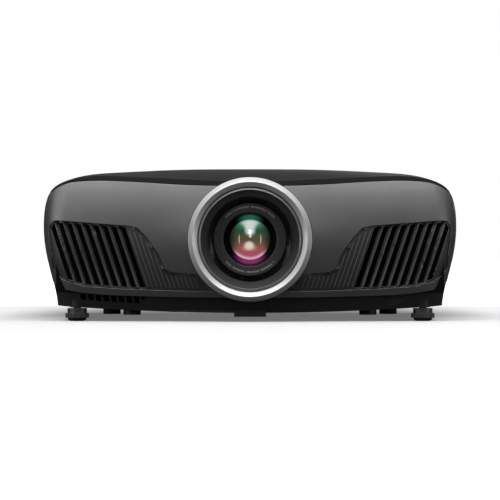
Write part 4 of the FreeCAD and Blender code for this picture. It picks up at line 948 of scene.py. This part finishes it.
def studio_world():
    """White where the camera sees it; for the light it gives, dark low down and bright above."""
    world = bpy.data.worlds.new("studio_world")
    world.use_nodes = True
    tree = world.node_tree
    tree.nodes.clear()
    link = tree.links.new
    direction = tree.nodes.new("ShaderNodeTexCoord")
    split = tree.nodes.new("ShaderNodeSeparateXYZ")
    ramp = tree.nodes.new("ShaderNodeValToRGB")
    stops = ramp.color_ramp.elements
    stops[0].position, stops[0].color = SKY[0]
    stops[1].position, stops[1].color = SKY[-1]
    for place, colour in SKY[1:-1]:
        stops.new(place).color = colour
    light_path = tree.nodes.new("ShaderNodeLightPath")
    around = tree.nodes.new("ShaderNodeBackground")
    around.inputs["Strength"].default_value = 0.9
    seen = tree.nodes.new("ShaderNodeBackground")
    seen.inputs["Color"].default_value = (1, 1, 1, 1)
    pick = tree.nodes.new("ShaderNodeMixShader")
    out = tree.nodes.new("ShaderNodeOutputWorld")
    link(direction.outputs["Generated"], split.inputs["Vector"])
    link(split.outputs["Z"], ramp.inputs["Fac"])
    link(ramp.outputs["Color"], around.inputs["Color"])
    link(light_path.outputs["Is Camera Ray"], pick.inputs["Fac"])
    link(around.outputs["Background"], pick.inputs[1])
    link(seen.outputs["Background"], pick.inputs[2])
    link(pick.outputs["Shader"], out.inputs["Surface"])
    return world


bpy.context.scene.world = studio_world()
print("world:", bpy.context.scene.world.name)

# %% Lights
def softbox(name, place, aim, size, power):
    """A rectangular area light that looks at a point: metres and watts."""
    lamp = bpy.data.lights.new(name, "AREA")
    lamp.shape = "RECTANGLE"
    lamp.size, lamp.size_y = size
    lamp.energy = power
    obj = bpy.data.objects.new(name, lamp)
    bpy.context.scene.collection.objects.link(obj)
    obj.location = place
    obj.rotation_euler = (Vector(aim) - Vector(place)).to_track_quat("-Z", "Y").to_euler()
    return obj


BODY_MIDDLE = (0, -0.1, 0.1)
LENS_FRONT = (0, -0.15, 0.1)
softbox("overhead_softbox", (0, -0.9, 2.3), (0, -0.05, 0), (3.0, 1.6), 50)
softbox("left_softbox", (-2.6, -1.6, 1.2), BODY_MIDDLE, (3.2, 2.0), 9)
softbox("lens_softbox", (0, -2.9, 0.80), LENS_FRONT, (0.22, 0.30), 2.2)
softbox("rear_softbox", (0.9, 2.6, 0.9), (0, 0.2, 0.1), (1.6, 1.0), 14)
for side, label in ((-1, "left"), (1, "right")):
    softbox("low_%s_strip" % label, (1.5 * side, -0.9, 0.12), (0.2 * side, -0.1, 0.03), (0.5, 0.16), 2.5)
print("lights:", len(bpy.data.lights))

# %% Camera
# a level front view from far off, with the body in the middle of the frame
DISTANCE = 3.5
SHARP_PLANE = -0.19
FRAME_WIDTH = 0.625
SENSOR_WIDTH = 36
camera_data = bpy.data.cameras.new("camera")
camera = bpy.data.objects.new("camera", camera_data)
bpy.context.scene.collection.objects.link(camera)
bpy.context.scene.camera = camera
camera_data.sensor_width = SENSOR_WIDTH
camera_data.lens = SENSOR_WIDTH * DISTANCE / FRAME_WIDTH
camera_data.shift_y = -0.0212
camera_data.clip_end = 60
camera.location = (0, SHARP_PLANE - DISTANCE, LENS_LEVEL * MM)
camera.rotation_euler = (pi / 2, 0, 0)
bpy.context.scene.view_settings.view_transform = "Standard"
print("camera lens:", round(camera_data.lens, 1), "mm")
